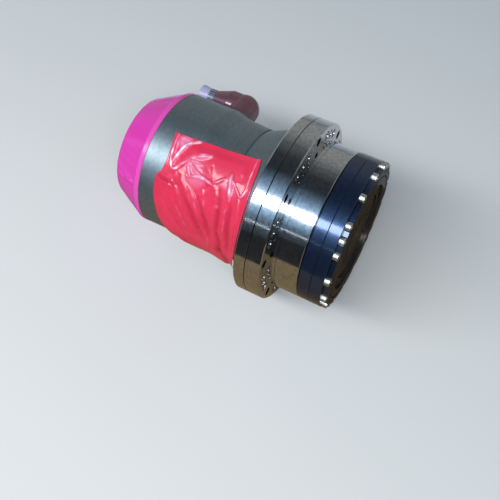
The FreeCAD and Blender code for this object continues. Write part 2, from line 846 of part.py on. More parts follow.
def flex_bearing_cage():
    """Ring with a round pocket for each ball."""
    ring = flex_ring(flex_cage_width, flex_pitch_r + flex_cage_t / 2, flex_pitch_r - flex_cage_t / 2)
    pockets = balls(tooth_mid_x, flex_pitch_r, flex_ball_dia + 4 * running_gap, flex_ball_count, wave_share)
    return flexed(ring).cut(pockets)


def stand(shape):
    """Carries a piece built above the axis round to the connector's side."""
    shape.rotate(origin, axis_x, -connector_angle)
    return shape


def motor_body():
    """Under the motor's outer line: cylinder, shoulder, waist with a narrow groove, then the flare."""
    groove_r = waist_r - waist_groove_depth
    return turn([(motor_rear_x, 0), (motor_rear_x, motor_r),
                 (shoulder_x, motor_r), (shoulder_x + shoulder_len, motor_r - shoulder_drop),
                 (waist_x, waist_r), (waist_x, groove_r), (flare_x, groove_r), (flare_x, waist_r),
                 (flange_rear_x, flare_r), (flange_rear_x, 0)])


def motor_housing():
    """Turned housing with its waist and flare, stepped bore and the flat pad for the connector."""
    side = base_side + 2 * pad_margin
    pad = Part.makeBox(side, side, pad_h, V(connector_x - side / 2, -side / 2, 0))
    rear_x = motor_rear_x - overcut
    front_x = flange_rear_x + overcut
    stator_r = stator_bore / 2
    bore = turn([(rear_x, 0), (rear_x, rear_recess_r), (rear_plate_x, rear_recess_r),
                 (rear_plate_x, rear_bore_r), (stator_stop_x, rear_bore_r), (stator_stop_x, stator_r),
                 (shield_step_x, stator_r), (shield_step_x, ring_spigot_r), (front_x, ring_spigot_r),
                 (front_x, 0)])
    body = motor_body().fuse(stand(pad)).cut(bore)
    body = body.cut(thread_holes(motor_seat_x - motor_screw_len - overcut, front_x, *motor_set))
    shield_tip_x = shield_seat_x + shield_screw_len
    body = body.cut(thread_holes(rear_plate_x - overcut, shield_tip_x + overcut, *shield_set))
    return body.cut(stand(lead_hole())).cut(stand(base_screw_rods(base_screw_len + overcut)))


def lead_hole():
    """Hole under the connector for the motor's leads."""
    hole_r = (lead_count - 1) / 2 * lead_pitch + lead_dia
    return Part.makeCylinder(hole_r, pad_h, V(connector_x, 0, stator_bore / 2 - yoke_t), outward)


def lead_wires():
    """Leads from the windings straight out into the connector's base."""
    made = []
    for k in range(lead_count):
        foot = V(connector_x, (k - (lead_count - 1) / 2) * lead_pitch, stator_bore / 2 - yoke_t)
        made.append(Part.makeCylinder(lead_dia / 2, base_h - foot.z, foot, outward))
    return stand(Part.makeCompound(made))


def front_shield():
    """Bearing shield whose rim is held between the motor's step and the toothed ring's spigot."""
    rim = ring_spigot_r - locate_gap
    wall = rim - shield_wall
    seat = front_bearing_dia / 2
    boss = seat + shield_wall
    seal = shaft_seal_dia / 2
    lip = seal - seal_lip_height
    front_x = shaft_seal_x + shaft_seal_width
    web_x = shield_step_x + shield_web_t
    return turn([(front_bearing_rear_x, seat), (front_bearing_rear_x, boss), (shield_step_x, boss),
                 (shield_step_x, rim), (ring_rear_x, rim), (ring_rear_x, wall), (web_x, wall), (web_x, boss),
                 (front_x, boss - edge_break), (front_x, seal), (shaft_seal_x, seal), (shaft_seal_x, lip),
                 (front_bearing_x, lip), (front_bearing_x, seat)])


def shaft_seal():
    return lip_seal(shaft_seal_x, shaft_seal_x + shaft_seal_width, shaft_seal_dia / 2 - press_gap,
                    front_bearing_bore / 2)


def bearing_groove(front_x, width, bore, outer, ball_dia):
    return torus(front_x - width / 2, (bore + outer) / 4, ball_dia + 2 * running_gap)


def bearing_outer(front_x, width, bore, outer, ball_dia):
    """Outer ring of a deep groove bearing."""
    land = (bore + outer) / 2 + race_land * ball_dia
    ring = tube(front_x - width, front_x, outer - 2 * press_gap, land)
    return ring.cut(bearing_groove(front_x, width, bore, outer, ball_dia))


def bearing_inner(front_x, width, bore, outer, ball_dia):
    """Inner ring of a deep groove bearing."""
    land = (bore + outer) / 2 - race_land * ball_dia
    ring = tube(front_x - width, front_x, land, bore + 2 * press_gap)
    return ring.cut(bearing_groove(front_x, width, bore, outer, ball_dia))


def bearing_ball_ring(front_x, width, bore, outer, ball_dia, count):
    return balls(front_x - width / 2, (bore + outer) / 4, ball_dia, count)


front_bearing = (front_bearing_x, front_bearing_width, front_bearing_bore, front_bearing_dia, front_ball_dia)
rear_bearing = (rear_bearing_x, rear_bearing_width, rear_bearing_bore, rear_bearing_dia, rear_ball_dia)


def stator_core():
    """Stack of slotted laminations: yoke, teeth and their shoes."""
    inner_r = stator_inner_dia / 2
    core = tube(stator_rear_x, stator_front_x, stator_bore - 2 * locate_gap, stator_bore - 2 * yoke_t)
    core = core.fuse(tube(stator_rear_x, stator_front_x, 2 * (inner_r + shoe_t), stator_inner_dia))
    foot = inner_r + shoe_t / 2
    reach = stator_bore / 2 - yoke_t / 2 - foot
    mouths = []
    for angle in spread(slot_count):
        tooth = Part.makeBox(stator_len, tooth_width, reach, V(stator_rear_x, -tooth_width / 2, foot))
        tooth.rotate(origin, axis_x, -angle)
        core = core.fuse(tooth)
        corner = V(stator_rear_x, -slot_mouth / 2, inner_r - shoe_t / 2)
        mouth = Part.makeBox(stator_len, slot_mouth, 2 * shoe_t, corner)
        mouth.rotate(origin, axis_x, -angle - 180.0 / slot_count)
        mouths.append(mouth)
    return core.cut(Part.makeCompound(mouths)).removeSplitter()


def stator_windings():
    """One coil round each tooth, rounded over the ends of the stack."""
    width = tooth_width + 2 * coil_t
    low = stator_inner_dia / 2 + shoe_t + coil_room
    high = math.sqrt((stator_bore / 2 - yoke_t) ** 2 - (width / 2) ** 2) - coil_room
    made = []
    for angle in spread(slot_count):
        block = Part.makeBox(stator_len + 2 * coil_overhang, width, high - low,
                             V(stator_rear_x - coil_overhang, -width / 2, low))
        block = block.makeFillet(0.9 * coil_t, upright_edges(block))
        window = Part.makeBox(stator_len + 2 * coil_room, tooth_width + 2 * coil_room, high,
                              V(stator_rear_x - coil_room, -tooth_width / 2 - coil_room, low - overcut))
        coil = block.cut(window)
        coil.rotate(origin, axis_x, -angle)
        made.append(coil)
    return Part.makeCompound(made)


def motor_shaft():
    """Stepped shaft from the wave generator's seat to the encoder's."""
    wave = wave_seat_dia / 2
    front = front_bearing_bore / 2
    rotor = rotor_seat_dia / 2
    rear = rear_bearing_bore / 2
    end = encoder_seat_dia / 2
    neck_x = rear_bearing_rear_x - spring_rise
    body = turn([(shaft_rear_x, 0), (shaft_rear_x, end - edge_break), (shaft_rear_x + edge_break, end),
                 (neck_x, end), (neck_x, rear), (rear_bearing_x, rear),
                 (rear_bearing_x, rear + rear_shoulder), (stator_rear_x, rear + rear_shoulder),
                 (stator_rear_x, rotor), (front_bearing_rear_x, rotor),
                 (front_bearing_rear_x, front), (hub_rear_x, front), (hub_rear_x, wave),
                 (shaft_front_x - edge_break, wave), (shaft_front_x, wave - edge_break), (shaft_front_x, 0)])
    tip_x = hub_front_x + end_flange_t - end_screw_len - overcut
    thread = rod(tip_x, shaft_front_x + overcut, end_screw_dia + 2 * press_gap)
    return body.cut(key_block(locate_gap)).cut(thread)


def rotor_core():
    """Laminated rotor with lightening holes."""
    core = tube(stator_rear_x, stator_front_x, 2 * (magnet_inner_r - press_gap),
                rotor_seat_dia + 2 * press_gap)
    return core.cut(rods(stator_rear_x - overcut, stator_front_x + overcut, rotor_hole_dia,
                         magnet_inner_r + rotor_seat_dia / 2, spread(rotor_hole_count)))


def rotor_magnets():
    """Curved magnets round the rotor."""
    made = []
    for angle in spread(magnet_count):
        tile = turn([(stator_rear_x, magnet_inner_r), (stator_rear_x, magnet_outer_r),
                     (stator_front_x, magnet_outer_r), (stator_front_x, magnet_inner_r)], magnet_arc)
        tile.rotate(origin, axis_x, -angle)
        made.append(tile)
    return Part.makeCompound(made)


def rear_shield():
    """Rear end plate with its spigot and the rear bearing's seat."""
    plate = rear_recess_r - locate_gap
    spigot = rear_bore_r - locate_gap
    hole = rear_bearing_bore / 2 + shaft_clear
    seat = rear_bearing_dia / 2
    boss = seat + shield_wall
    seat_x = rear_bearing_rear_x - spring_rise
    lip_x = rear_plate_x + shield_wall
    body = turn([(motor_rear_x, hole), (motor_rear_x, plate), (rear_plate_x, plate), (rear_plate_x, spigot),
                 (lip_x, spigot), (lip_x, spigot - shield_wall),
                 (rear_plate_x, spigot - shield_wall - edge_break),
                 (rear_plate_x, boss), (rear_bearing_x, boss), (rear_bearing_x, seat), (seat_x, seat),
                 (seat_x, hole)])
    body = body.cut(shank_holes(shield_seat_x, rear_plate_x + overcut, *shield_set))
    return body.cut(head_pockets(motor_rear_x - overcut, shield_seat_x, *shield_set))


def shield_screw_set():
    """Cap screws whose heads point to the rear."""
    return cap_screws(-shield_seat_x, shield_screw_len, *shield_set).mirror(origin, axis_x)


def bearing_spring():
    """Disc spring that pushes the rear bearing forward."""
    outer_r = rear_bearing_dia / 2 - running_gap
    inner_r = outer_r - spring_width
    rear_x = rear_bearing_rear_x - spring_rise
    return turn([(rear_x, inner_r), (rear_x + spring_t, inner_r), (rear_bearing_rear_x, outer_r),
                 (rear_bearing_rear_x - spring_t, outer_r)])


def encoder_disc():
    """Coded disc on its hub."""
    bore = encoder_seat_dia + 2 * press_gap
    hub = tube(encoder_disc_x, encoder_disc_x + encoder_hub_t, encoder_hub_dia, bore)
    return hub.fuse(tube(encoder_disc_x - encoder_disc_t, encoder_disc_x, encoder_disc_dia, bore))


def encoder_board():
    """Round circuit board with the reading head over the disc's edge."""
    board = tube(board_x - board_t, board_x, board_dia, encoder_seat_dia)
    reach = encoder_disc_x - encoder_disc_t - encoder_air_gap - board_x
    half = reading_head / 2
    corner = V(board_x, -half, reading_inset - encoder_disc_dia / 2 - half)
    head = Part.makeBox(reach, reading_head, reading_head, corner)
    neck_room = post_neck_dia + 2 * locate_gap
    holes = rods(board_x - board_t - overcut, board_x + overcut, neck_room, post_pcd, post_angles)
    return board.cut(holes).fuse(head)


def encoder_posts():
    """Shouldered posts that carry the board and take the cover's screws."""
    made = []
    for angle in post_angles:
        post = rod(board_x, motor_rear_x, post_dia, post_pcd / 2, angle)
        neck = rod(cover_floor_x, board_x, post_neck_dia, post_pcd / 2, angle)
        thread = rod(cover_floor_x, cover_seat_x + cover_screw_len + overcut, cover_screw_dia + 2 * press_gap,
                     post_pcd / 2, angle)
        made.append(post.fuse(neck).cut(thread))
    return Part.makeCompound(made)


def encoder_cover():
    """Drawn cup over the encoder."""
    r = cover_dia / 2
    body = turn([(motor_rear_x, r - cover_wall), (motor_rear_x, r), (cover_rear_x + edge_break, r),
                 (cover_rear_x, r - edge_break), (cover_rear_x, 0), (cover_floor_x, 0),
                 (cover_floor_x, r - cover_wall)])
    body = body.cut(head_pockets(cover_rear_x - overcut, cover_seat_x, *cover_set))
    return body.cut(shank_holes(cover_rear_x, cover_floor_x + overcut, *cover_set))


def encoder_cover_screws():
    """Flat-headed screws, just under the cover's face."""
    made = []
    for angle in post_angles:
        head = rod(cover_rear_x + locate_gap, cover_seat_x, head_dia(cover_screw_dia), post_pcd / 2, angle)
        shank = rod(cover_seat_x, cover_seat_x + cover_screw_len, cover_screw_dia, post_pcd / 2, angle)
        made.append(head.fuse(shank))
    return Part.makeCompound(made)


def protective_cap():
    """Thin film drawn over the motor's rear edge and the encoder's cover."""
    band = motor_r + locate_gap
    rear = cover_dia / 2 + 2 * film_t
    edge_x = motor_rear_x - locate_gap
    rear_x = cover_rear_x - locate_gap
    return turn([(motor_rear_x + film_band, band), (motor_rear_x + film_band, band + film_t),
                 (edge_x - film_t, band + film_t), (rear_x, rear), (rear_x - film_t, rear - film_t),
                 (rear_x - film_t, 0), (rear_x, 0), (rear_x, rear - 2 * film_t), (edge_x, band)])


def pouch_outline(rear_x, gap):
    """Under a line at a gap over the motor that bridges the waist and then climbs the flare."""
    share = (motor_r - waist_r) / (flare_r - waist_r)
    bridge_x = flare_x + share * (flange_rear_x - flare_x)
    return turn([(rear_x, 0), (rear_x, motor_r + gap), (bridge_x, motor_r + gap),
                 (flange_rear_x, flare_r + gap), (flange_rear_x, 0)])


def accessory_pouch():
    """Soft plastic pouch laid over the near side of the motor, close to the flange."""
    front_x = flange_rear_x - pouch_from_flange
    rear_x = front_x - pouch_len
    shell = pouch_outline(rear_x, soft_gap + pouch_t).cut(pouch_outline(rear_x, soft_gap))
    low = waist_r / 2
    high = flange_r
    outline = [(rear_x, low), (rear_x, high), (front_x, high), (front_x, low)]
    sector = turn(outline, pouch_top_angle - pouch_bottom_angle)
    sector.rotate(origin, axis_x, -pouch_top_angle)
    return shell.common(sector)


def base_screw_spots():
    half = base_side / 2 - base_screw_inset
    return [(connector_x + sx * half, sy * half) for sx in (-1, 1) for sy in (-1, 1)]


def base_screw_rods(length):
    """Holes for the base's screws, down from the base's top."""
    made = []
    for x, y in base_screw_spots():
        foot = V(x, y, base_h - length)
        made.append(Part.makeCylinder(base_screw_dia / 2 + press_gap, length, foot, outward))
    return Part.makeCompound(made)


def screw_cone(x, y, gap):
    """Countersunk head at the base's top, or the room for it."""
    height = base_screw_dia / 2
    return Part.makeCone(base_screw_dia / 2 + gap, base_screw_dia + gap, height, V(x, y, base_h - height),
                         outward)


def upright(h0, h1, dia):
    """Round bar standing out from the motor under the connector."""
    return Part.makeCylinder(dia / 2, h1 - h0, V(connector_x, 0, h0), outward)


def connector_base():
    """Square receptacle screwed to the pad, with the spigot that the elbow swivels on."""
    half = base_side / 2
    plate = Part.makeBox(base_side, base_side, base_t, V(connector_x - half, -half, pad_h))
    body = plate.makeFillet(0.8 * base_screw_inset, upright_edges(plate))
    body = body.fuse(upright(base_h, base_h + spigot_h, spigot_dia - 2 * running_gap))
    body = body.cut(upright(pad_h - overcut, base_h + spigot_h + overcut, base_bore))
    body = body.cut(base_screw_rods(base_t + overcut))
    return stand(body.cut(Part.makeCompound([screw_cone(x, y, press_gap) for x, y in base_screw_spots()])))


def connector_screws():
    """Countersunk screws, flush with the base."""
    made = []
    for x, y in base_screw_spots():
        shank = Part.makeCylinder(base_screw_dia / 2, base_screw_len - base_screw_dia / 2,
                                  V(x, y, base_h - base_screw_len), outward)
        made.append(screw_cone(x, y, 0).fuse(shank))
    return stand(Part.makeCompound(made))


def along_barrel(x0, x1, dia):
    """Round bar along the barrel, from x0 back to x1."""
    return Part.makeCylinder(dia / 2, x0 - x1, V(x0, 0, barrel_h), -axis_x)


def round_the_barrel(x0, x1, dia, pitch_dia, count):
    """Ring of small bars along the barrel."""
    made = []
    for angle in spread(count):
        p = at(x0, pitch_dia / 2, angle)
        made.append(Part.makeCylinder(dia / 2, x0 - x1, p + outward * barrel_h, -axis_x))
    return Part.makeCompound(made)


def connector_elbow():
    """Domed elbow that swivels on the base, with its tapered barrel pointing to the rear."""
    taper_x = connector_x - barrel_straight
    shoulder_x = nut_front_x + soft_gap
    dome = Part.makeSphere(elbow_dia / 2, V(connector_x, 0, barrel_h))
    body = upright(elbow_foot_h, barrel_h, elbow_dia).fuse(dome)
    body = body.fuse(along_barrel(connector_x, taper_x, barrel_dia))
    taper_start = V(taper_x, 0, barrel_h)
    taper = Part.makeCone(barrel_dia / 2, nut_dia / 2, taper_x - shoulder_x, taper_start, -axis_x)
    body = body.fuse(taper)
    body = body.fuse(along_barrel(shoulder_x, barrel_end_x, neck_dia))
    body = body.cut(upright(elbow_foot_h - elbow_dia, elbow_foot_h, 2 * elbow_dia))
    body = body.cut(upright(elbow_foot_h - overcut, base_h + spigot_h + soft_gap, spigot_dia))
    body = body.cut(upright(elbow_foot_h - overcut, barrel_h, barrel_bore))
    return stand(body.cut(along_barrel(connector_x, barrel_end_x - overcut, barrel_bore)))


def connector_insert():
    """Insulating insert with a ring of contact holes."""
    body = along_barrel(barrel_end_x + insert_len, barrel_end_x, barrel_bore - 2 * locate_gap)
    return stand(body.cut(round_the_barrel(barrel_end_x + insert_len / 2, barrel_end_x, contact_dia,
                                           barrel_bore / 2, contact_count)))


def connector_nut():
    """Fluted coupling nut round the barrel's end."""
    body = along_barrel(nut_front_x, nut_rear_x, nut_dia)
    body = body.cut(along_barrel(nut_front_x, nut_rear_x, neck_dia + 2 * locate_gap))
    flute_ring = nut_dia + 0.4 * flute_dia
    return stand(body.cut(round_the_barrel(nut_front_x, nut_rear_x, flute_dia, flute_ring, nut_flute_count)))


def connector_cap():
    """Soft cap pushed up to the nut, with a rounded end."""
    rear_x = nut_rear_x - plug_cap_len
    body = along_barrel(nut_rear_x, rear_x, plug_cap_dia)
    end_edges = [e for e in body.Edges if e.Closed and abs(e.CenterOfMass.x - rear_x) < press_gap]
    body = body.makeFillet(0.25 * plug_cap_dia, end_edges)
    return stand(body.cut(along_barrel(nut_rear_x, rear_x + plug_cap_wall,
                                       0.75 * plug_cap_dia - plug_cap_wall)))


nodes = {
    "motor_housing": motor_housing,
    "circular_spline": circular_spline,
    "housing_o_ring": housing_o_ring,
    "bearing_outer_ring": bearing_outer_ring,
    "roller_filling_plug": roller_filling_plug,
    "output_seal": output_seal,
    "flange_clamp_bolts": clamp_bolts,
    "motor_screws": motor_screw_set,
    "front_shield": front_shield,
    "shaft_seal": shaft_seal,
    "front_bearing_outer_ring": lambda: bearing_outer(*front_bearing),
    "front_bearing_inner_ring": lambda: bearing_inner(*front_bearing),
    "front_bearing_balls": lambda: bearing_ball_ring(*front_bearing, front_ball_count),
    "rear_bearing_outer_ring": lambda: bearing_outer(*rear_bearing),
    "rear_bearing_inner_ring": lambda: bearing_inner(*rear_bearing),
    "rear_bearing_balls": lambda: bearing_ball_ring(*rear_bearing, rear_ball_count),
    "bearing_spring": bearing_spring,
    "stator_core": stator_core,
    "stator_windings": stator_windings,
    "lead_wires": lead_wires,
    "rear_shield": rear_shield,
    "rear_shield_screws": shield_screw_set,
    "encoder_posts": encoder_posts,
    "encoder_board": encoder_board,
    "encoder_disc": encoder_disc,
    "encoder_cover": encoder_cover,
    "encoder_cover_screws": encoder_cover_screws,
    "protective_cap": protective_cap,
    "accessory_pouch": accessory_pouch,
    "connector_base": connector_base,
    "connector_screws": connector_screws,
    "connector_elbow": connector_elbow,
    "connector_insert": connector_insert,
    "connector_nut": connector_nut,
    "connector_cap": connector_cap,
    "bearing_inner_ring": bearing_inner_ring,
    "crossed_rollers": crossed_rollers,
    "roller_spacers": roller_spacers,
    "output_ring": output_ring,
    "inner_ring_bolts": inner_bolt_set,
    "output_plate": output_plate,
    "output_bolts": output_bolt_set,
    "center_cap": center_cap,
    "flexspline": flexspline,
    "flexspline_clamp_ring": flexspline_clamp_ring,
    "flexspline_bolts": spline_bolt_set,
    "motor_shaft": motor_shaft,
    "rotor_core": rotor_core,
    "rotor_magnets": rotor_magnets,
    "shaft_key": lambda: key_block(0),
    "wave_hub": wave_hub,
    "wave_hub_screws": hub_screw_set,
    "wave_plug": wave_plug,
    "shaft_end_screw": shaft_end_screw,
    "flex_bearing_inner_race": flex_bearing_inner_race,
    "flex_bearing_balls": flex_bearing_balls,
    "flex_bearing_cage": flex_bearing_cage,
    "flex_bearing_outer_race": flex_bearing_outer_race,
}

os.makedirs("parts", exist_ok=True)
for name, make in nodes.items():
    make().exportStep("parts/" + name + ".step")
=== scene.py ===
import math
import random

import bmesh
import bpy
import numpy as np
from mathutils import Matrix, Vector


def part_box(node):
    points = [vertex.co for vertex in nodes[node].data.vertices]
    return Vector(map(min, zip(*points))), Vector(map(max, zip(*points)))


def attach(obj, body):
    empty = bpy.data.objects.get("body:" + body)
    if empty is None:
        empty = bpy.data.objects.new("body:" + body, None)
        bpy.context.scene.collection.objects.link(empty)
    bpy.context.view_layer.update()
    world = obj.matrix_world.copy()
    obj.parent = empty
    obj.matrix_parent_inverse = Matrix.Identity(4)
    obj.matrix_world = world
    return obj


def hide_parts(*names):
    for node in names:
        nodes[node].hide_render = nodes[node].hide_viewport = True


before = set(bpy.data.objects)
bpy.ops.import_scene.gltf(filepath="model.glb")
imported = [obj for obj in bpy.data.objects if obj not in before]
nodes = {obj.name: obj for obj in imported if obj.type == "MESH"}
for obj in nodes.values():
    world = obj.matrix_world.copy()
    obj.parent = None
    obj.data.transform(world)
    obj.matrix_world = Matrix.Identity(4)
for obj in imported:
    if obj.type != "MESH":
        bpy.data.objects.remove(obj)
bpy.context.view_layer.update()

scene = bpy.context.scene
scene.view_settings.view_transform = "Standard"
bpy.ops.object.select_all(action="DESELECT")

# Camera. It stands in front of the output on the near side and looks down at the unit, which lies on its
# side. Its place and lens were fitted to the circles of the flange, the hub, the output and the motor.
eye = Vector((0.138734, -0.366618, 0.522554))
aim = Vector((-0.031943, -0.052733, -0.020442))
bpy.ops.object.camera_add(location=eye, rotation=(aim - eye).to_track_quat("-Z", "Y").to_euler())
camera = bpy.context.object
camera.data.sensor_width = 36.0
camera.data.lens = 46.15
scene.camera = camera


# Studio light. A long soft box over the near side draws the white band along every round face, and a thin
# strip below it draws the second line. Both run along the main axis.
def add_soft_box(name, turn, reach, middle_x, length, width, watts, colour):
    """Rectangular lamp, long along the main axis, that faces the axis from a turn towards the near side."""
    place = (middle_x, -reach * math.sin(turn), reach * math.cos(turn))
    bpy.ops.object.light_add(type="AREA", location=place, rotation=(turn, 0.0, 0.0))
    lamp = bpy.context.object
    lamp.name = name
    lamp.data.shape = "RECTANGLE"
    lamp.data.size = length
    lamp.data.size_y = width
    lamp.data.energy = watts
    lamp.data.color = colour
    lamp.visible_camera = False


add_soft_box("key_box", turn=math.radians(38.0), reach=1.5, middle_x=-0.4, length=2.6, width=0.30,
             watts=30.0, colour=(0.97, 0.99, 1.0))
add_soft_box("low_strip", turn=math.radians(66.0), reach=1.6, middle_x=-0.5, length=2.4, width=0.012,
             watts=0.42, colour=(0.95, 0.98, 1.0))

# Room. It is dark overhead and on the near side, pale on the far side and cool round the soft box, so that
# polished steel shows the bands that such a room gives. Each band stands at its turn round the main axis,
# in degrees from straight up towards the far side.
room_bands = (
    (-180, (0.05, 0.05, 0.05)), (-92, (0.020, 0.024, 0.032)), (-80, (0.045, 0.058, 0.072)),
    (-72, (0.070, 0.098, 0.125)), (-64, (0.11, 0.16, 0.22)), (-57, (0.24, 0.38, 0.56)),
    (-49, (0.55, 0.84, 1.15)), (-44, (0.9, 1.25, 1.6)), (-32, (0.9, 1.25, 1.6)),
    (-27, (0.55, 0.84, 1.15)), (-20, (0.30, 0.47, 0.68)), (-10, (0.12, 0.18, 0.25)),
    (0, (0.035, 0.042, 0.052)), (20, (0.045, 0.05, 0.055)), (40, (0.16, 0.17, 0.17)),
    (58, (0.36, 0.365, 0.36)), (85, (0.38, 0.38, 0.37)), (120, (0.16, 0.16, 0.16)),
    (180, (0.05, 0.05, 0.05)),
)
world = bpy.data.worlds.new("studio_room")
scene.world = world
world.use_nodes = True
room = world.node_tree
direction = room.nodes.new("ShaderNodeTexCoord")
parts = room.nodes.new("ShaderNodeSeparateXYZ")
turn_round = room.nodes.new("ShaderNodeMath")
turn_round.operation = "ARCTAN2"
share = room.nodes.new("ShaderNodeMapRange")
share.inputs["From Min"].default_value = -math.pi
share.inputs["From Max"].default_value = math.pi
bands = room.nodes.new("ShaderNodeValToRGB")
while len(bands.color_ramp.elements) < len(room_bands):
    bands.color_ramp.elements.new(0.5)
for stop, (degrees, colour) in zip(bands.color_ramp.elements, room_bands):
    stop.position = (degrees + 180.0) / 360.0
    stop.color = (*colour, 1.0)
room.links.new(direction.outputs["Generated"], parts.inputs["Vector"])
room.links.new(parts.outputs["Y"], turn_round.inputs[0])
room.links.new(parts.outputs["Z"], turn_round.inputs[1])
room.links.new(turn_round.outputs["Value"], share.inputs["Value"])
room.links.new(share.outputs["Result"], bands.inputs["Fac"])
room.links.new(bands.outputs["Color"], room.nodes["Background"].inputs["Color"])

# Floor. A plain pale board that the unit lies on. Only the flange, which is the widest piece, touches it.
# It is painted matt.
floor_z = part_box("circular_spline")[0].z
bpy.ops.mesh.primitive_plane_add(size=12.0, location=(0.0, 0.0, floor_z))
floor = bpy.context.object
floor.name = "floor"


def matt_paint(name, colour, rough):
    """Plain matt paint for what isn't part of the unit."""
    paint = bpy.data.materials.new(name)
    paint.use_nodes = True
    shader = paint.node_tree.nodes["Principled BSDF"]
    shader.inputs["Base Color"].default_value = (*colour, 1.0)
    shader.inputs["Roughness"].default_value = rough
    return paint


floor.data.materials.append(matt_paint("floor_paint", (0.66, 0.64, 0.61), 0.8))


# Cards. Two matt cards that the camera doesn't see: a dark one stands low on the near side and a brown one
# lies under and before the unit. Polished faces reflect them as their dark and brown bands.
def add_card(name, place, turn, size, colour):
    """Flat matt card that only reflections see."""
    bpy.ops.mesh.primitive_plane_add(size=1.0, location=place, rotation=(turn, 0.0, 0.0))
    card = bpy.context.object
    card.name = name
    card.scale = (*size, 1.0)
    card.visible_camera = False
    card.visible_shadow = False
    card.visible_diffuse = False
    card.data.materials.append(matt_paint(name + "_paint", colour, 1.0))


card_x = -0.05
card_length = 1.6
dark_height = 0.19
brown_width = 0.48
over_floor = 0.0005
add_card("dark_card", (card_x, -0.33, floor_z + dark_height / 2), math.pi / 2, (card_length, dark_height),
         (0.062, 0.066, 0.072))
add_card("brown_card", (card_x, -0.09, floor_z + over_floor), 0.0, (card_length, brown_width),
         (0.26, 0.172, 0.082))


# Motor housing. A turned aluminium body, satin anodised grey, bolted to the back of the toothed ring. The
# turning tool leaves fine rings round the main axis, which every turned piece of the unit shows.
def lathe_marks_group():
    """Fine rings of the tool, streaks that run round with them, broad smudges of handling, and the radius."""
    group = bpy.data.node_groups.new("lathe_marks", "ShaderNodeTree")
    group.interface.new_socket("Pitch", in_out="INPUT", socket_type="NodeSocketFloat")
    for name in ("Fine", "Streak", "Smudge", "Radius"):
        group.interface.new_socket(name, in_out="OUTPUT", socket_type="NodeSocketFloat")
    add = group.nodes.new
    link = group.links.new
    given = add("NodeGroupInput")
    result = add("NodeGroupOutput")
    place = add("ShaderNodeTexCoord")
    split = add("ShaderNodeSeparateXYZ")
    link(place.outputs["Object"], split.inputs["Vector"])
    across = add("ShaderNodeCombineXYZ")
    link(split.outputs["Y"], across.inputs["Y"])
    link(split.outputs["Z"], across.inputs["Z"])
    radius = add("ShaderNodeVectorMath")
    radius.operation = "LENGTH"
    link(across.outputs["Vector"], radius.inputs[0])
    link(radius.outputs["Value"], result.inputs["Radius"])
    for name, along, round_scale, detail in (("Fine", 1.0, 6.0, 2.0), ("Streak", 0.16, 22.0, 4.0)):
        rings = add("ShaderNodeCombineXYZ")
        for source, axis in ((split.outputs["X"], "X"), (radius.outputs["Value"], "Y")):
            scaled = add("ShaderNodeMath")
            scaled.operation = "MULTIPLY"
            link(source, scaled.inputs[0])
            link(given.outputs["Pitch"], scaled.inputs[1])
            shrunk = add("ShaderNodeMath")
            shrunk.operation = "MULTIPLY"
            shrunk.inputs[1].default_value = along
            link(scaled.outputs["Value"], shrunk.inputs[0])
            link(shrunk.outputs["Value"], rings.inputs[axis])
        round_axis = add("ShaderNodeVectorMath")
        round_axis.operation = "NORMALIZE"
        link(across.outputs["Vector"], round_axis.inputs[0])
        spun = add("ShaderNodeVectorMath")
        spun.operation = "SCALE"
        spun.inputs["Scale"].default_value = round_scale
        link(round_axis.outputs["Vector"], spun.inputs[0])
        both = add("ShaderNodeVectorMath")
        both.operation = "ADD"
        link(rings.outputs["Vector"], both.inputs[0])
        link(spun.outputs["Vector"], both.inputs[1])
        noise = add("ShaderNodeTexNoise")
        noise.inputs["Scale"].default_value = 1.0
        noise.inputs["Detail"].default_value = detail
        link(both.outputs["Vector"], noise.inputs["Vector"])
        link(noise.outputs["Fac"], result.inputs[name])
    smudge = add("ShaderNodeTexNoise")
    smudge.inputs["Scale"].default_value = 45.0
    smudge.inputs["Detail"].default_value = 5.0
    smudge.inputs["Roughness"].default_value = 0.6
    link(place.outputs["Object"], smudge.inputs["Vector"])
    link(smudge.outputs["Fac"], result.inputs["Smudge"])
    return group


lathe_marks = lathe_marks_group()


def ranged(tree, source, low, high, from_low=0.3, from_high=0.7):
    """Carries a mask from its spread, which is usually that of a noise, to a range of values."""
    change = tree.nodes.new("ShaderNodeMapRange")
    change.inputs["From Min"].default_value = from_low
    change.inputs["From Max"].default_value = from_high
    change.inputs["To Min"].default_value = low
    change.inputs["To Max"].default_value = high
    tree.links.new(source, change.inputs["Value"])
    return change.outputs["Result"]


def toned(tree, mask, dark, light):
    """Colour that goes from dark to light with a mask."""
    tone = tree.nodes.new("ShaderNodeMix")
    tone.data_type = "RGBA"
    tone.inputs["A"].default_value = (*dark, 1.0)
    tone.inputs["B"].default_value = (*light, 1.0)
    tree.links.new(mask, tone.inputs["Factor"])
    return tone.outputs["Result"]


def relief(tree, height, strength, distance):
    """Normal of a fine relief."""
    bump = tree.nodes.new("ShaderNodeBump")
    bump.inputs["Strength"].default_value = strength
    bump.inputs["Distance"].default_value = distance
    tree.links.new(height, bump.inputs["Height"])
    return bump.outputs["Normal"]


def new_finish(name):
    """Empty material, with its node tree and shader."""
    material = bpy.data.materials.new(name)
    material.use_nodes = True
    return material, material.node_tree, material.node_tree.nodes["Principled BSDF"]


ring_depth = 0.00002


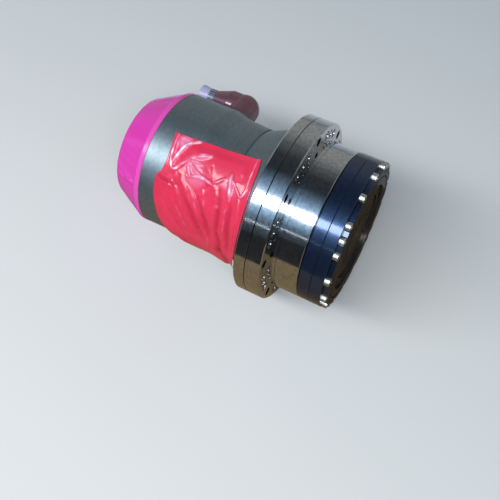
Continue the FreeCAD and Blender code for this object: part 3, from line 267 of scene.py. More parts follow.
def turned_metal(name, dark, light, rough, pitch, metallic=1.0, ridge=0.25):
    """Turned metal whose tone, gloss and relief follow the marks of the tool and of handling."""
    material, tree, shader = new_finish(name)
    shader.inputs["Metallic"].default_value = metallic
    marks = tree.nodes.new("ShaderNodeGroup")
    marks.node_tree = lathe_marks
    marks.inputs["Pitch"].default_value = pitch
    mask = ranged(tree, marks.outputs["Streak"], 0.0, 1.0)
    tree.links.new(toned(tree, mask, dark, light), shader.inputs["Base Color"])
    tree.links.new(ranged(tree, marks.outputs["Smudge"], *rough), shader.inputs["Roughness"])
    tree.links.new(relief(tree, marks.outputs["Fine"], ridge, ring_depth), shader.inputs["Normal"])
    return material


def dress(material, *names):
    """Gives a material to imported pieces, by name."""
    for name in names:
        slots = nodes[name].data.materials
        for k in range(len(slots)):
            slots[k] = material


satin_grey = turned_metal("satin_grey", (0.18, 0.222, 0.245), (0.235, 0.28, 0.30), rough=(0.40, 0.46),
                          pitch=2600.0, metallic=0.86, ridge=0.08)
dress(satin_grey, "motor_housing")


# Stator. A stack of thin punched sheets with a copper coil on each tooth, and three insulated leads to the
# connector. The sheets show as fine lines across the stack, the coils as rows of wire.
def layered(name, dark, light, scale, axis, rough, metallic):
    """Thin sheets or wires that lie side by side along one axis, dull in the gaps between them."""
    gap_dulling = 0.12
    line_depth = 0.0001
    material, tree, shader = new_finish(name)
    shader.inputs["Metallic"].default_value = metallic
    place = tree.nodes.new("ShaderNodeTexCoord")
    lines = tree.nodes.new("ShaderNodeTexWave")
    lines.bands_direction = axis
    lines.inputs["Scale"].default_value = scale
    lines.inputs["Distortion"].default_value = 0.4
    lines.inputs["Detail"].default_value = 2.0
    tree.links.new(place.outputs["Object"], lines.inputs["Vector"])
    tree.links.new(toned(tree, lines.outputs["Fac"], dark, light), shader.inputs["Base Color"])
    gloss = ranged(tree, lines.outputs["Fac"], rough + gap_dulling, rough, 0.0, 1.0)
    tree.links.new(gloss, shader.inputs["Roughness"])
    tree.links.new(relief(tree, lines.outputs["Fac"], 0.5, line_depth), shader.inputs["Normal"])
    return material


def grain_group():
    """Fine grain and broad clouds of a cast, moulded or pressed surface."""
    group = bpy.data.node_groups.new("grain", "ShaderNodeTree")
    group.interface.new_socket("Scale", in_out="INPUT", socket_type="NodeSocketFloat")
    for name in ("Fine", "Broad"):
        group.interface.new_socket(name, in_out="OUTPUT", socket_type="NodeSocketFloat")
    given = group.nodes.new("NodeGroupInput")
    result = group.nodes.new("NodeGroupOutput")
    place = group.nodes.new("ShaderNodeTexCoord")
    for name, share_of in (("Fine", 1.0), ("Broad", 0.06)):
        scaled = group.nodes.new("ShaderNodeMath")
        scaled.operation = "MULTIPLY"
        scaled.inputs[1].default_value = share_of
        group.links.new(given.outputs["Scale"], scaled.inputs[0])
        noise = group.nodes.new("ShaderNodeTexNoise")
        noise.inputs["Detail"].default_value = 4.0
        group.links.new(place.outputs["Object"], noise.inputs["Vector"])
        group.links.new(scaled.outputs["Value"], noise.inputs["Scale"])
        group.links.new(noise.outputs["Fac"], result.inputs[name])
    return group


grain = grain_group()
grain_depth = 0.00005


def grained(name, dark, light, scale, rough, metallic=0.0, strength=0.15):
    """Cast, moulded or painted surface with a fine grain and a cloudy tone."""
    material, tree, shader = new_finish(name)
    shader.inputs["Metallic"].default_value = metallic
    marks = tree.nodes.new("ShaderNodeGroup")
    marks.node_tree = grain
    marks.inputs["Scale"].default_value = scale
    mask = ranged(tree, marks.outputs["Broad"], 0.0, 1.0)
    tree.links.new(toned(tree, mask, dark, light), shader.inputs["Base Color"])
    tree.links.new(ranged(tree, marks.outputs["Fine"], *rough), shader.inputs["Roughness"])
    tree.links.new(relief(tree, marks.outputs["Fine"], strength, grain_depth), shader.inputs["Normal"])
    return material


punched_sheets = layered("punched_sheets", (0.10, 0.10, 0.105), (0.26, 0.26, 0.27), scale=100.0, axis="X",
                         rough=0.35, metallic=0.9)
copper_wire = layered("copper_wire", (0.42, 0.13, 0.05), (0.78, 0.33, 0.14), scale=55.0, axis="DIAGONAL",
                      rough=0.28, metallic=1.0)
lead_sleeve = grained("lead_sleeve", (0.45, 0.02, 0.015), (0.62, 0.05, 0.03), scale=900.0, rough=(0.35, 0.5))
dress(punched_sheets, "stator_core")
dress(copper_wire, "stator_windings")
dress(lead_sleeve, "lead_wires")

# Rotor. A ground steel shaft carries a pressed-on core of punched sheets with glued magnets under a skin of
# nickel. A key in the shaft's front end drives the wave generator.
ground_steel = turned_metal("ground_steel", (0.42, 0.42, 0.42), (0.58, 0.57, 0.56), rough=(0.16, 0.28),
                            pitch=3000.0)
nickelled_magnet = grained("nickelled_magnet", (0.46, 0.44, 0.40), (0.60, 0.58, 0.53), scale=700.0,
                           rough=(0.22, 0.34), metallic=1.0, strength=0.05)
dress(ground_steel, "motor_shaft", "shaft_key")
dress(punched_sheets, "rotor_core")
dress(nickelled_magnet, "rotor_magnets")

# Ball bearings of the shaft. Hardened rings and balls, lapped bright and pressed onto the shaft's two ends.
# A blued spring washer behind the rear one takes up the play.
lapped_steel = turned_metal("lapped_steel", (0.56, 0.56, 0.56), (0.68, 0.68, 0.67), rough=(0.06, 0.13),
                            pitch=4000.0)
blued_spring = grained("blued_spring", (0.07, 0.10, 0.20), (0.16, 0.17, 0.24), scale=500.0,
                       rough=(0.22, 0.36), metallic=1.0, strength=0.04)
for end in ("front", "rear"):
    dress(lapped_steel, end + "_bearing_outer_ring", end + "_bearing_inner_ring", end + "_bearing_balls")
dress(blued_spring, "bearing_spring")

# Bearing shields and seals. The shields are cast aluminium with machined seats and close the housing's ends.
# The seals and the O-ring are moulded rubber, pressed into their seats.
cast_aluminium = grained("cast_aluminium", (0.46, 0.47, 0.47), (0.62, 0.62, 0.61), scale=520.0,
                         rough=(0.36, 0.55), metallic=0.9, strength=0.3)
seal_rubber = grained("seal_rubber", (0.018, 0.018, 0.020), (0.035, 0.034, 0.034), scale=900.0,
                      rough=(0.55, 0.75))
dress(cast_aluminium, "front_shield", "rear_shield")
dress(seal_rubber, "shaft_seal", "output_seal", "housing_o_ring")

# Encoder. A coated glass disc on the shaft's end turns before the reading head of a round lacquered board.
# The board stands on steel posts, and a drawn metal cup is screwed over it.
board_lacquer = grained("board_lacquer", (0.008, 0.10, 0.045), (0.015, 0.17, 0.07), scale=650.0,
                        rough=(0.25, 0.4), strength=0.1)
coded_glass = turned_metal("coded_glass", (0.05, 0.06, 0.07), (0.30, 0.32, 0.34), rough=(0.05, 0.12),
                           pitch=6000.0, metallic=0.5)
drawn_cup = turned_metal("drawn_cup", (0.40, 0.41, 0.42), (0.52, 0.53, 0.53), rough=(0.30, 0.42),
                         pitch=1500.0)
dress(board_lacquer, "encoder_board")
dress(coded_glass, "encoder_disc")
dress(drawn_cup, "encoder_cover")
dress(ground_steel, "encoder_posts")

# Flange rings. The rear one carries the fixed internal teeth, the front one the hub and the outer half of
# the roller race. Both are steel, turned, ground bright and lightly oiled, so the shine is a little mottled.
bright_steel = turned_metal("bright_steel", (0.40, 0.42, 0.44), (0.58, 0.59, 0.60), rough=(0.07, 0.15),
                            pitch=2200.0, ridge=0.08)
seam_x = -0.016
seam_half = 0.0007


def along_axis(tree, low, high, top=1.0):
    """Mask that rises from 0 between two stations of the main axis."""
    place = tree.nodes.new("ShaderNodeTexCoord")
    split = tree.nodes.new("ShaderNodeSeparateXYZ")
    tree.links.new(place.outputs["Object"], split.inputs["Vector"])
    return ranged(tree, split.outputs["X"], 0.0, top, low, high)


def paint_seam_shade(material):
    """Painted shade: a near-black line painted along the seam between the two rings, where the gap lies in
    shade.
    """
    tree = material.node_tree
    shader = tree.nodes["Principled BSDF"]
    tone = shader.inputs["Base Color"].links[0].from_socket
    seam_shade = tree.nodes.new("ShaderNodeMix")
    seam_shade.data_type = "RGBA"
    seam_shade.inputs["B"].default_value = (0.012, 0.012, 0.013, 1.0)
    off_seam = tree.nodes.new("ShaderNodeMath")
    off_seam.operation = "PINGPONG"
    off_seam.inputs[1].default_value = 1.0
    tree.links.new(along_axis(tree, seam_x - seam_half, seam_x + seam_half, 2.0), off_seam.inputs[0])
    tree.links.new(ranged(tree, off_seam.outputs["Value"], 0.0, 1.0, 0.25, 0.7), seam_shade.inputs["Factor"])
    tree.links.new(tone, seam_shade.inputs["A"])
    tree.links.new(seam_shade.outputs["Result"], shader.inputs["Base Color"])


# Painted shade along the seam between the flange rings.
paint_seam_shade(bright_steel)
dress(bright_steel, "circular_spline", "bearing_outer_ring", "roller_filling_plug")

# Wave generator. An elliptical steel plug, screwed to a keyed hub on the motor's shaft. A thin ball bearing
# with a moulded cage is pressed over the plug and takes its shape.
cage_plastic = grained("bearing_cage_plastic", (0.42, 0.28, 0.12), (0.56, 0.40, 0.19), scale=700.0,
                       rough=(0.4, 0.55))
dress(ground_steel, "wave_plug", "wave_hub")
dress(lapped_steel, "flex_bearing_inner_race", "flex_bearing_outer_race", "flex_bearing_balls")
dress(cage_plastic, "flex_bearing_cage")

# Toothed cup. A thin-walled cup of tough steel, turned, polished and toothed round its rim by a hob. A
# threaded ring inside clamps its bottom to the output.
cup_steel = turned_metal("cup_steel", (0.48, 0.47, 0.45), (0.60, 0.59, 0.56), rough=(0.14, 0.24),
                         pitch=2600.0)
dress(cup_steel, "flexspline", "flexspline_clamp_ring")

# Crossed roller bearing. Hardened rollers, each square to the next, run between an inner ring and the front
# flange ring. Moulded spacers keep them apart.
spacer_plastic = grained("spacer_plastic", (0.55, 0.50, 0.40), (0.68, 0.62, 0.50), scale=800.0,
                         rough=(0.4, 0.55))
dress(lapped_steel, "bearing_inner_ring", "crossed_rollers")
dress(spacer_plastic, "roller_spacers")


# Output rings. Two steel rings under a blue-black oxide finish, turned and oiled. The rims are satin blue,
# and the face, which the load is bolted to, is ground and keeps a thin dark oxide.
def oxide_finish():
    """Turned oxide finish whose rims are bluer than the ground face and keep an oiled film."""
    face_x_low = 0.0567
    face_x_high = 0.0570
    face_r_low = 0.0728
    face_r_high = 0.0731
    material, tree, shader = new_finish("blue_black")
    shader.inputs["Specular Tint"].default_value = (0.15, 0.135, 0.12, 1.0)
    shader.inputs["Specular IOR Level"].default_value = 0.1
    shader.inputs["Coat Roughness"].default_value = 0.11
    marks = tree.nodes.new("ShaderNodeGroup")
    marks.node_tree = lathe_marks
    marks.inputs["Pitch"].default_value = 2200.0
    on_face = tree.nodes.new("ShaderNodeMath")
    on_face.operation = "MULTIPLY"
    within_rim = ranged(tree, marks.outputs["Radius"], 1.0, 0.0, face_r_low, face_r_high)
    tree.links.new(along_axis(tree, face_x_low, face_x_high), on_face.inputs[0])
    tree.links.new(within_rim, on_face.inputs[1])
    face = on_face.outputs["Value"]
    streak = ranged(tree, marks.outputs["Streak"], 0.0, 1.0)
    rim_tone = toned(tree, streak, (0.017, 0.035, 0.080), (0.028, 0.051, 0.106))
    face_tone = toned(tree, streak, (0.070, 0.058, 0.048), (0.105, 0.090, 0.075))
    tone = tree.nodes.new("ShaderNodeMix")
    tone.data_type = "RGBA"
    tree.links.new(face, tone.inputs["Factor"])
    tree.links.new(rim_tone, tone.inputs["A"])
    tree.links.new(face_tone, tone.inputs["B"])
    tree.links.new(tone.outputs["Result"], shader.inputs["Base Color"])
    tree.links.new(ranged(tree, face, 0.80, 0.70, 0.0, 1.0), shader.inputs["Metallic"])
    tree.links.new(ranged(tree, face, 0.8, 0.0, 0.0, 1.0), shader.inputs["Coat Weight"])
    tree.links.new(ranged(tree, marks.outputs["Smudge"], 0.16, 0.26), shader.inputs["Roughness"])
    tree.links.new(relief(tree, marks.outputs["Fine"], 0.25, ring_depth), shader.inputs["Normal"])
    return material


dress(oxide_finish(), "output_ring", "output_plate", "center_cap")

# Hidden and sunk screws. Socket head screws of hardened steel. Most are zinc plated, and those of the cup,
# the inner bearing ring and the rear shield are blackened.
plated_screw = turned_metal("plated_screw", (0.52, 0.52, 0.51), (0.70, 0.70, 0.68), rough=(0.24, 0.36),
                            pitch=1600.0)
black_oxide = grained("black_oxide", (0.020, 0.020, 0.022), (0.045, 0.045, 0.048), scale=800.0,
                      rough=(0.35, 0.5), metallic=0.7, strength=0.08)
dress(plated_screw, "flange_clamp_bolts", "motor_screws", "wave_hub_screws", "shaft_end_screw",
      "encoder_cover_screws", "connector_screws")
dress(black_oxide, "flexspline_bolts", "inner_ring_bolts", "rear_shield_screws")

# Output bolts. Stainless cap screws round the rim of the output plate, with a knurled side, a broken top
# edge and a hexagon socket. Sixteen stand evenly and four more stand between them.
bolt_thread = 0.005
bolt_head = 0.0085
bolt_length = 0.022
bolt_edge_break = 0.00055
bolt_knurls = 60
bolt_knurl_share = 0.955
bolt_socket_radius = 0.0023
bolt_seat = 0.0565
bolt_ring = 0.0734
bolt_turn = -8.5
bolt_step = 22.5
extra_turn = -42.25
extra_step = 90.0


def picked(mesh, kind, wanted):
    """Selects only the faces, edges or points of a mesh in edit mode that a test wants."""
    edited = bmesh.from_edit_mesh(mesh)
    for group in (edited.verts, edited.edges, edited.faces):
        for item in group:
            item.select = False
    for item in getattr(edited, kind):
        if wanted(item):
            item.select_set(True)
    bmesh.update_edit_mesh(mesh)


def model_bolt():
    """Cap screw standing on the seat at the origin, head upward."""
    bpy.ops.mesh.primitive_cylinder_add(vertices=bolt_knurls, radius=bolt_head / 2, depth=bolt_thread,
                                        location=(0.0, 0.0, bolt_thread / 2))
    bolt = bpy.context.object
    bpy.ops.object.transform_apply(location=True, rotation=True, scale=True)
    bpy.ops.object.mode_set(mode="EDIT")
    bpy.ops.mesh.select_mode(type="FACE")
    picked(bolt.data, "faces", lambda f: f.normal.z < -0.9)
    bpy.ops.mesh.inset(thickness=(bolt_head - bolt_thread) / 2)
    bpy.ops.mesh.extrude_region_move(TRANSFORM_OT_translate={"value": (0.0, 0.0, -bolt_length)})
    bpy.ops.mesh.select_mode(type="EDGE")
    top = bolt_thread - 1e-6
    picked(bolt.data, "edges", lambda e: all(v.co.z > top for v in e.verts))
    bpy.ops.mesh.bevel(offset=bolt_edge_break, segments=3, affect="EDGES")
    bpy.ops.mesh.select_mode(type="VERT")
    rim = bolt_head / 2 - 1e-5
    step = 2.0 * math.pi / bolt_knurls
    picked(bolt.data, "verts", lambda v: v.co.xy.length > rim and v.co.z > 1e-5
           and round(math.atan2(v.co.x, v.co.y) / step) % 2 == 0)
    bpy.ops.transform.resize(value=(bolt_knurl_share, bolt_knurl_share, 1.0))
    bpy.ops.object.mode_set(mode="OBJECT")
    bpy.ops.mesh.primitive_cylinder_add(vertices=6, radius=bolt_socket_radius, depth=bolt_thread,
                                        location=(0.0, 0.0, bolt_thread * 0.95))
    socket = bpy.context.object
    cut = bolt.modifiers.new("socket", "BOOLEAN")
    cut.object = socket
    cut.operation = "DIFFERENCE"
    bpy.context.view_layer.objects.active = bolt
    bpy.ops.object.modifier_apply(modifier="socket")
    bpy.data.objects.remove(socket)
    bpy.ops.object.select_all(action="DESELECT")
    bolt.select_set(True)
    bpy.ops.object.shade_smooth_by_angle(angle=math.radians(28.0))
    return bolt


stainless = turned_metal("stainless", (0.52, 0.51, 0.48), (0.68, 0.67, 0.63), rough=(0.28, 0.42),
                         pitch=1200.0)
bolt = model_bolt()
bolt.data.materials.clear()
bolt.data.materials.append(stainless)
bolt_angles = [bolt_turn + bolt_step * k for k in range(16)]
bolt_angles += [extra_turn + extra_step * k for k in range(4)]
lay_along_axis = Matrix.Rotation(math.pi / 2, 4, "Y")
for number, degrees in enumerate(bolt_angles):
    placed = bolt
    if number < len(bolt_angles) - 1:
        placed = bolt.copy()
        placed.data = bolt.data.copy()
        scene.collection.objects.link(placed)
    round_axis = Matrix.Rotation(-math.radians(degrees), 4, "X")
    carry = round_axis @ Matrix.Translation((bolt_seat, 0.0, bolt_ring))
    placed.data.transform(carry @ lay_along_axis)
    placed.name = "output_bolt_%02d" % (number + 1)
    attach(placed, "output")
    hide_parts("output_bolts")

# Connector. A die-cast angled plug housing, lacquered dark, that turns on its square base. A fluted nut
# holds the insert, and the base is screwed to the motor.
dark_lacquer = grained("dark_lacquer", (0.165, 0.076, 0.094), (0.235, 0.112, 0.132), scale=420.0,
                       rough=(0.10, 0.22), metallic=0.5, strength=0.06)
nut_metal = turned_metal("nut_metal", (0.12, 0.14, 0.18), (0.19, 0.22, 0.27), rough=(0.4, 0.5),
                         pitch=2000.0, metallic=0.7)
insert_plastic = grained("insert_plastic", (0.02, 0.02, 0.02), (0.05, 0.05, 0.05), scale=900.0,
                         rough=(0.4, 0.5))
dress(dark_lacquer, "connector_elbow", "connector_base")
dress(nut_metal, "connector_nut")
dress(insert_plastic, "connector_insert")

# Dust cap. A soft moulded cap, pale and a little cloudy, pushed into the end of the connector. It widens to
# a rolled rim that fingers pull it by.
cap_low, cap_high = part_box("connector_cap")
cap_middle = (cap_low + cap_high) / 2
cap_radius = (cap_high.z - cap_low.z) / 2
cap_flare = 1.2
cap_rim_back = 0.0028
cap_wall = 0.0011
cap_dish = 0.0012
cap_roll = 0.0007
bpy.ops.object.select_all(action="DESELECT")
bpy.ops.mesh.primitive_cylinder_add(vertices=64, radius=cap_radius, depth=cap_high.x - cap_low.x,
                                    location=cap_middle, rotation=(0.0, math.pi / 2, 0.0))
dust_cap = bpy.context.object
dust_cap.name = "dust_cap"
bpy.ops.object.transform_apply(location=True, rotation=True, scale=True)
bpy.ops.object.mode_set(mode="EDIT")
bpy.ops.mesh.select_mode(type="FACE")
picked(dust_cap.data, "faces", lambda f: f.normal.x < -0.9)
bpy.ops.transform.resize(value=(1.0, cap_flare, cap_flare))
bpy.ops.transform.translate(value=(cap_rim_back, 0.0, 0.0))
bpy.ops.mesh.inset(thickness=cap_wall)
bpy.ops.mesh.extrude_region_move(TRANSFORM_OT_translate={"value": (cap_dish, 0.0, 0.0)})
bpy.ops.mesh.select_mode(type="EDGE")
picked(dust_cap.data, "edges", lambda e: e.is_manifold and e.calc_face_angle() > math.radians(50.0))
bpy.ops.mesh.bevel(offset=cap_roll, segments=4, affect="EDGES")
bpy.ops.object.mode_set(mode="OBJECT")
bpy.ops.object.shade_smooth_by_angle(angle=math.radians(35.0))
soft_cap = grained("soft_cap", (0.31, 0.30, 0.46), (0.41, 0.39, 0.55), scale=300.0, rough=(0.18, 0.32),
                   strength=0.05)
dust_cap.data.materials.clear()
dust_cap.data.materials.append(soft_cap)
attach(dust_cap, "connector")
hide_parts("connector_cap")

# Rear film. A thin pink stretch film, pulled over the motor's rear edge and the encoder's cover for
# transport. It lies flat on the edge, spans the step as a cone with tension folds, and gathers a little on
# the end. Its sizes are in mm.
mm_per_m = 1000.0
film_edge_x = -150.2
film_corner_x = -155.6
film_rear_x = -187.9
film_band_r = 71.75
film_rear_r = 55.6
film_band_step = 1.35
film_cone_r = film_band_r - 0.4
film_cone_end_x = film_rear_x + 0.8
film_end_r = film_rear_r - 0.9
film_cone_rows = 30
film_end_rows = 16
film_steps = 288


def film_line():
    """Half section of the film as (x, radius, how freely it folds), from its front edge to its middle."""
    line = [(film_edge_x - film_band_step * k, film_band_r, 0.05) for k in range(4)]
    line.append((film_corner_x + 0.35, film_band_r - 0.02, 0.05))
    line.append((film_corner_x, film_band_r - 0.25, 0.08))
    for k in range(1, film_cone_rows):
        t = k / film_cone_rows
        x = film_corner_x + (film_cone_end_x - film_corner_x) * t
        r = film_cone_r + (film_rear_r - film_cone_r) * t
        line.append((x, r, math.sin(math.pi * t) ** 0.6))
    line.append((film_rear_x + 0.3, film_rear_r - 0.25, 0.12))
    line.append((film_rear_x, film_end_r, 0.12))
    for k in range(1, film_end_rows):
        t = k / film_end_rows
        line.append((film_rear_x, film_end_r * (1.0 - t), 0.35 * (1.0 - t)))
    return line


def film_folds():
    """Tension folds as (angle, half width in degrees, height in mm, lean in degrees)."""
    draw = random.Random(12)
    folds = [(-64.0, 3.4, 2.9, 10.0), (-71.0, 3.8, 2.4, -9.0), (-52.0, 5.0, 0.8, 5.0), (18.0, 6.0, 0.7, -4.0)]
    for k in range(34):
        angle = draw.uniform(-180.0, 180.0)
        half = draw.uniform(5.0, 11.0)
        height = draw.uniform(0.06, 0.3)
        folds.append((angle, half, height, draw.uniform(-9.0, 9.0)))
    return folds


def make_film():
    """The film as one sheet, its folds raised by code."""
    line = film_line()
    folds = film_folds()
    points = []
    angles = [360.0 * k / film_steps for k in range(film_steps)]
    for row, (x, r, free) in enumerate(line):
        t = row / (len(line) - 1)
        on_end = row >= len(line) - film_end_rows
        for degrees in angles:
            lift = 0.0
            for middle, half, height, lean in folds:
                off = (degrees - middle - lean * (t - 0.5) + 180.0) % 360.0 - 180.0
                if abs(off) < half:
                    lift += height * math.cos(0.5 * math.pi * off / half) ** 2
            lift *= free
            a = math.radians(degrees)
            x_at = x - lift if on_end else x - 0.45 * lift
            r_at = r if on_end else r + 0.9 * lift
            points.append((x_at / mm_per_m, r_at * math.sin(a) / mm_per_m, r_at * math.cos(a) / mm_per_m))
    faces = []
    for row in range(len(line) - 1):
        here = row * film_steps
        after = here + film_steps
        for k in range(film_steps):
            n = (k + 1) % film_steps
            faces.append((here + k, after + k, after + n, here + n))
    points.append((film_rear_x / mm_per_m, 0.0, 0.0))
    last = (len(line) - 1) * film_steps
    for k in range(film_steps):
        faces.append((last + k, len(points) - 1, last + (k + 1) % film_steps))
    mesh = bpy.data.meshes.new("rear_film")
    mesh.from_pydata(points, [], faces)
    film = bpy.data.objects.new("rear_film", mesh)
    scene.collection.objects.link(film)
    return film


def give_thickness(piece, thickness):
    """Gives a sheet its thickness, outward, and smooth shading."""
    bpy.ops.object.select_all(action="DESELECT")
    piece.select_set(True)
    bpy.context.view_layer.objects.active = piece
    wall = piece.modifiers.new("thickness", "SOLIDIFY")
    wall.thickness = thickness
    wall.offset = 1.0
    bpy.ops.object.modifier_apply(modifier="thickness")
    bpy.ops.object.shade_smooth()


def soft_film(name, deep, thin, changed, rough, sheen, scale, masks_for):
    """Glossy coloured film with a cloudy tone, in other colours where masks say so."""
    cloud_depth = 0.0003
    material, tree, shader = new_finish(name)
    shader.inputs["Specular IOR Level"].default_value = sheen
    marks = tree.nodes.new("ShaderNodeGroup")
    marks.node_tree = grain
    marks.inputs["Scale"].default_value = scale
    tone = toned(tree, ranged(tree, marks.outputs["Broad"], 0.0, 1.0), deep, thin)
    for colour, mask in zip(changed, masks_for(tree)):
        mix = tree.nodes.new("ShaderNodeMix")
        mix.data_type = "RGBA"
        mix.inputs["B"].default_value = (*colour, 1.0)
        tree.links.new(tone, mix.inputs["A"])
        tree.links.new(mask, mix.inputs["Factor"])
        tone = mix.outputs["Result"]
    tree.links.new(tone, shader.inputs["Base Color"])
    tree.links.new(ranged(tree, marks.outputs["Fine"], *rough), shader.inputs["Roughness"])
    tree.links.new(relief(tree, marks.outputs["Broad"], 0.2, cloud_depth), shader.inputs["Normal"])
    return material


def film_band(tree):
    """The band of film on the motor's edge, painted a paler pink than the cone."""
    corner = film_corner_x / mm_per_m
    return [along_axis(tree, corner - 0.0002, corner + 0.0004)]


film = make_film()
give_thickness(film, 0.00015)
pink_film = soft_film("pink_film", deep=(0.63, 0.036, 0.33), thin=(0.68, 0.044, 0.37),
                      changed=[(0.66, 0.076, 0.37)], rough=(0.20, 0.24), sheen=0.35, scale=110.0,
                      masks_for=film_band)
film.data.materials.append(pink_film)
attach(film, "housing")
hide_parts("protective_cap")

# Pouch. A welded bag of red plastic film, laid slack over the near side of the motor. Its side welds lie
# flat, the bag between them is crumpled, and it bridges the motor's waist. Its edges and folds are given as
# (station along the main axis in mm, angle round it in degrees).
pouch_top_edge = ((-131.0, -15.4), (-115.5, -15.0), (-99.5, -14.1), (-83.9, -12.9), (-63.2, -11.6),
                  (-41.0, -10.4))
pouch_right_edge = ((-41.0, -10.4), (-37.6, -22.0), (-35.4, -41.0), (-34.8, -52.0), (-35.0, -70.0),
                    (-36.5, -90.0), (-41.5, -117.0))
pouch_left_edge = ((-131.0, -15.4), (-128.0, -28.0), (-127.5, -38.0), (-128.6, -46.5), (-133.6, -52.0),
                   (-132.6, -66.0), (-130.0, -78.0), (-126.5, -90.0), (-121.0, -101.0), (-113.0, -117.0))
pouch_bottom_edge = ((-113.0, -117.0), (-95.0, -120.0), (-75.0, -121.0), (-55.0, -119.5), (-41.5, -117.0))
pouch_columns = 150
pouch_rows = 210
motor_r = 71.5
bridge_x = -46.3
flange_rear_x = -28.0
flare_r = 79.0
arc_r = 74.0
waist_sag = 1.6
waist_sag_x = -72.0
waist_sag_reach = 16.0

# Each fold: the line that it follows, its rise and half width in mm, and its tone: a painted highlight above
# 0, and deep red below 0, which is painted shade in its crease. Each sheen patch: its station and angle, its
# reach in mm and its painted pale sheen.
pouch_folds = (
    (((-127, -16), (-125.5, -28), (-123, -37), (-119, -42), (-113, -40), (-107, -34)), 1.3, 2.0, 0.9),
    (((-121, -38), (-117, -27), (-110, -19), (-102, -15)), 1.9, 3.0, 0.9),
    (((-126, -18), (-120, -18), (-113, -17)), 0.6, 3.0, 0.5),
    (((-125, -18), (-123, -24), (-121, -31)), 0.5, 2.4, 0.45),
    (((-105, -31), (-96, -26), (-85, -22)), 1.9, 4.4, 0.5),
    (((-106, -32), (-98, -31), (-90, -31)), 1.2, 2.6, 0.3),
    (((-104, -31), (-101, -39), (-95, -43)), 1.4, 2.6, 0.6),
    (((-104, -31), (-95, -37), (-84, -39)), 1.4, 2.4, 0.4),
    (((-117, -42), (-110, -36), (-104, -31)), 1.2, 2.8, 0.4),
    (((-101, -43), (-86, -40), (-74, -42)), 1.3, 3.0, 0.6),
    (((-74, -40), (-70, -38), (-65, -34)), 1.3, 2.0, 0.4),
    (((-44, -11), (-42.5, -26), (-41.5, -37), (-44, -42), (-49, -39), (-58, -32)), 1.2, 1.7, 0.7),
    (((-60, -29), (-57, -38), (-53, -48)), 1.9, 3.4, 0.7),
    (((-46, -42), (-40, -62), (-38, -80), (-40, -108)), 1.5, 2.8, 0.1),
    (((-124, -19), (-119, -22), (-115, -25)), 0.3, 6.0, 0.3),
    (((-128, -72), (-110, -90), (-94, -110)), 2.0, 3.8, 0.05),
    (((-129, -79), (-113, -96), (-98, -114)), -1.2, 4.0, -0.6),
    (((-125, -60), (-108, -76), (-92, -95), (-84, -110)), 1.2, 4.0, 0.0),
    (((-126, -64), (-109, -81), (-94, -99)), -0.8, 4.2, -0.4),
    (((-106, -47), (-89, -62), (-70, -88)), 1.7, 5.0, 0.06),
    (((-93, -51), (-82, -62), (-73, -76)), 1.2, 2.4, 0.25),
    (((-98, -49), (-90, -55), (-80, -70)), 0.9, 2.2, 0.22),
    (((-116, -50), (-106, -57), (-98, -68)), 1.0, 3.0, 0.12),
    (((-112, -62), (-100, -74), (-90, -90)), 0.9, 2.6, 0.14),
    (((-82, -48), (-78, -56), (-76, -62)), 0.9, 2.4, 0.18),
    (((-55, -52), (-52, -66), (-52, -82)), 1.1, 2.8, 0.14),
    (((-72, -80), (-68, -90), (-70, -106)), 0.9, 2.6, 0.12),
    (((-101, -56), (-85, -72), (-73, -94)), -1.0, 6.0, -0.4),
    (((-86, -54), (-74, -70), (-64, -90)), -0.9, 5.0, -0.35),
    (((-69, -44), (-64, -62), (-62, -84), (-60, -104)), 1.3, 5.0, 0.0),
    (((-66, -44), (-60, -60), (-59, -80)), -0.8, 4.2, -0.4),
    (((-65, -86), (-61, -92), (-60, -98)), 1.8, 6.5, 0.0),
    (((-58, -78), (-55, -90), (-56, -102)), -1.0, 4.4, -0.5),
    (((-55, -94), (-50, -103), (-46, -113)), -1.2, 5.0, -0.5),
    (((-50, -50), (-48, -68), (-45, -92)), -1.0, 4.4, -0.4),
    (((-133, -50), (-124, -53), (-110, -53)), -0.8, 3.4, -0.4),
)
pouch_sheen_patches = ((-117.0, -20.0, 11.0, 0.34), (-98.0, -34.0, 16.0, 0.24), (-92.0, -42.0, 17.0, 0.2),
              (-60.0, -36.0, 10.0, 0.16))


def evenly_along(edge, count):
    """Evenly spaced points on an edge given by a few of its points."""
    corners = np.array(edge, dtype=float)
    run_x = np.diff(corners[:, 0])
    run_s = np.diff(corners[:, 1]) * arc_r * math.pi / 180.0
    reach = np.r_[0.0, np.cumsum(np.hypot(run_x, run_s))]
    spots = np.linspace(0.0, reach[-1], count)
    return np.stack([np.interp(spots, reach, corners[:, k]) for k in (0, 1)], axis=-1)


def pouch_plan():
    """Stations and angles of the pouch's points, filled in between its four edges."""
    u = np.linspace(0.0, 1.0, pouch_columns)[None, :, None]
    v = np.linspace(0.0, 1.0, pouch_rows)[:, None, None]
    top = evenly_along(pouch_top_edge, pouch_columns)[None]
    bottom = evenly_along(pouch_bottom_edge, pouch_columns)[None]
    left = evenly_along(pouch_left_edge, pouch_rows)[:, None]
    right = evenly_along(pouch_right_edge, pouch_rows)[:, None]
    corners = (1 - u) * (1 - v) * top[:, :1] + u * (1 - v) * top[:, -1:]
    corners = corners + (1 - u) * v * bottom[:, :1] + u * v * bottom[:, -1:]
    return (1 - v) * top + v * bottom + (1 - u) * left + u * right - corners


def smooth(values, low, high):
    """Soft step from 0 to 1."""
    t = np.clip((values - low) / (high - low), 0.0, 1.0)
    return t * t * (3.0 - 2.0 * t)


def curved(points, steps=5):
    """Smooth line through a few points."""
    p = np.array([points[0], *points, points[-1]], dtype=float)
    line = []
    for k in range(1, len(p) - 2):
        for t in np.linspace(0.0, 1.0, steps, endpoint=False):
            bend = (2 * p[k - 1] - 5 * p[k] + 4 * p[k + 1] - p[k + 2]) * t * t
            curl = (3 * p[k] - p[k - 1] - 3 * p[k + 1] + p[k + 2]) * t ** 3
            line.append(p[k] + 0.5 * ((p[k + 1] - p[k - 1]) * t + bend + curl))
    return line + [p[-2]]


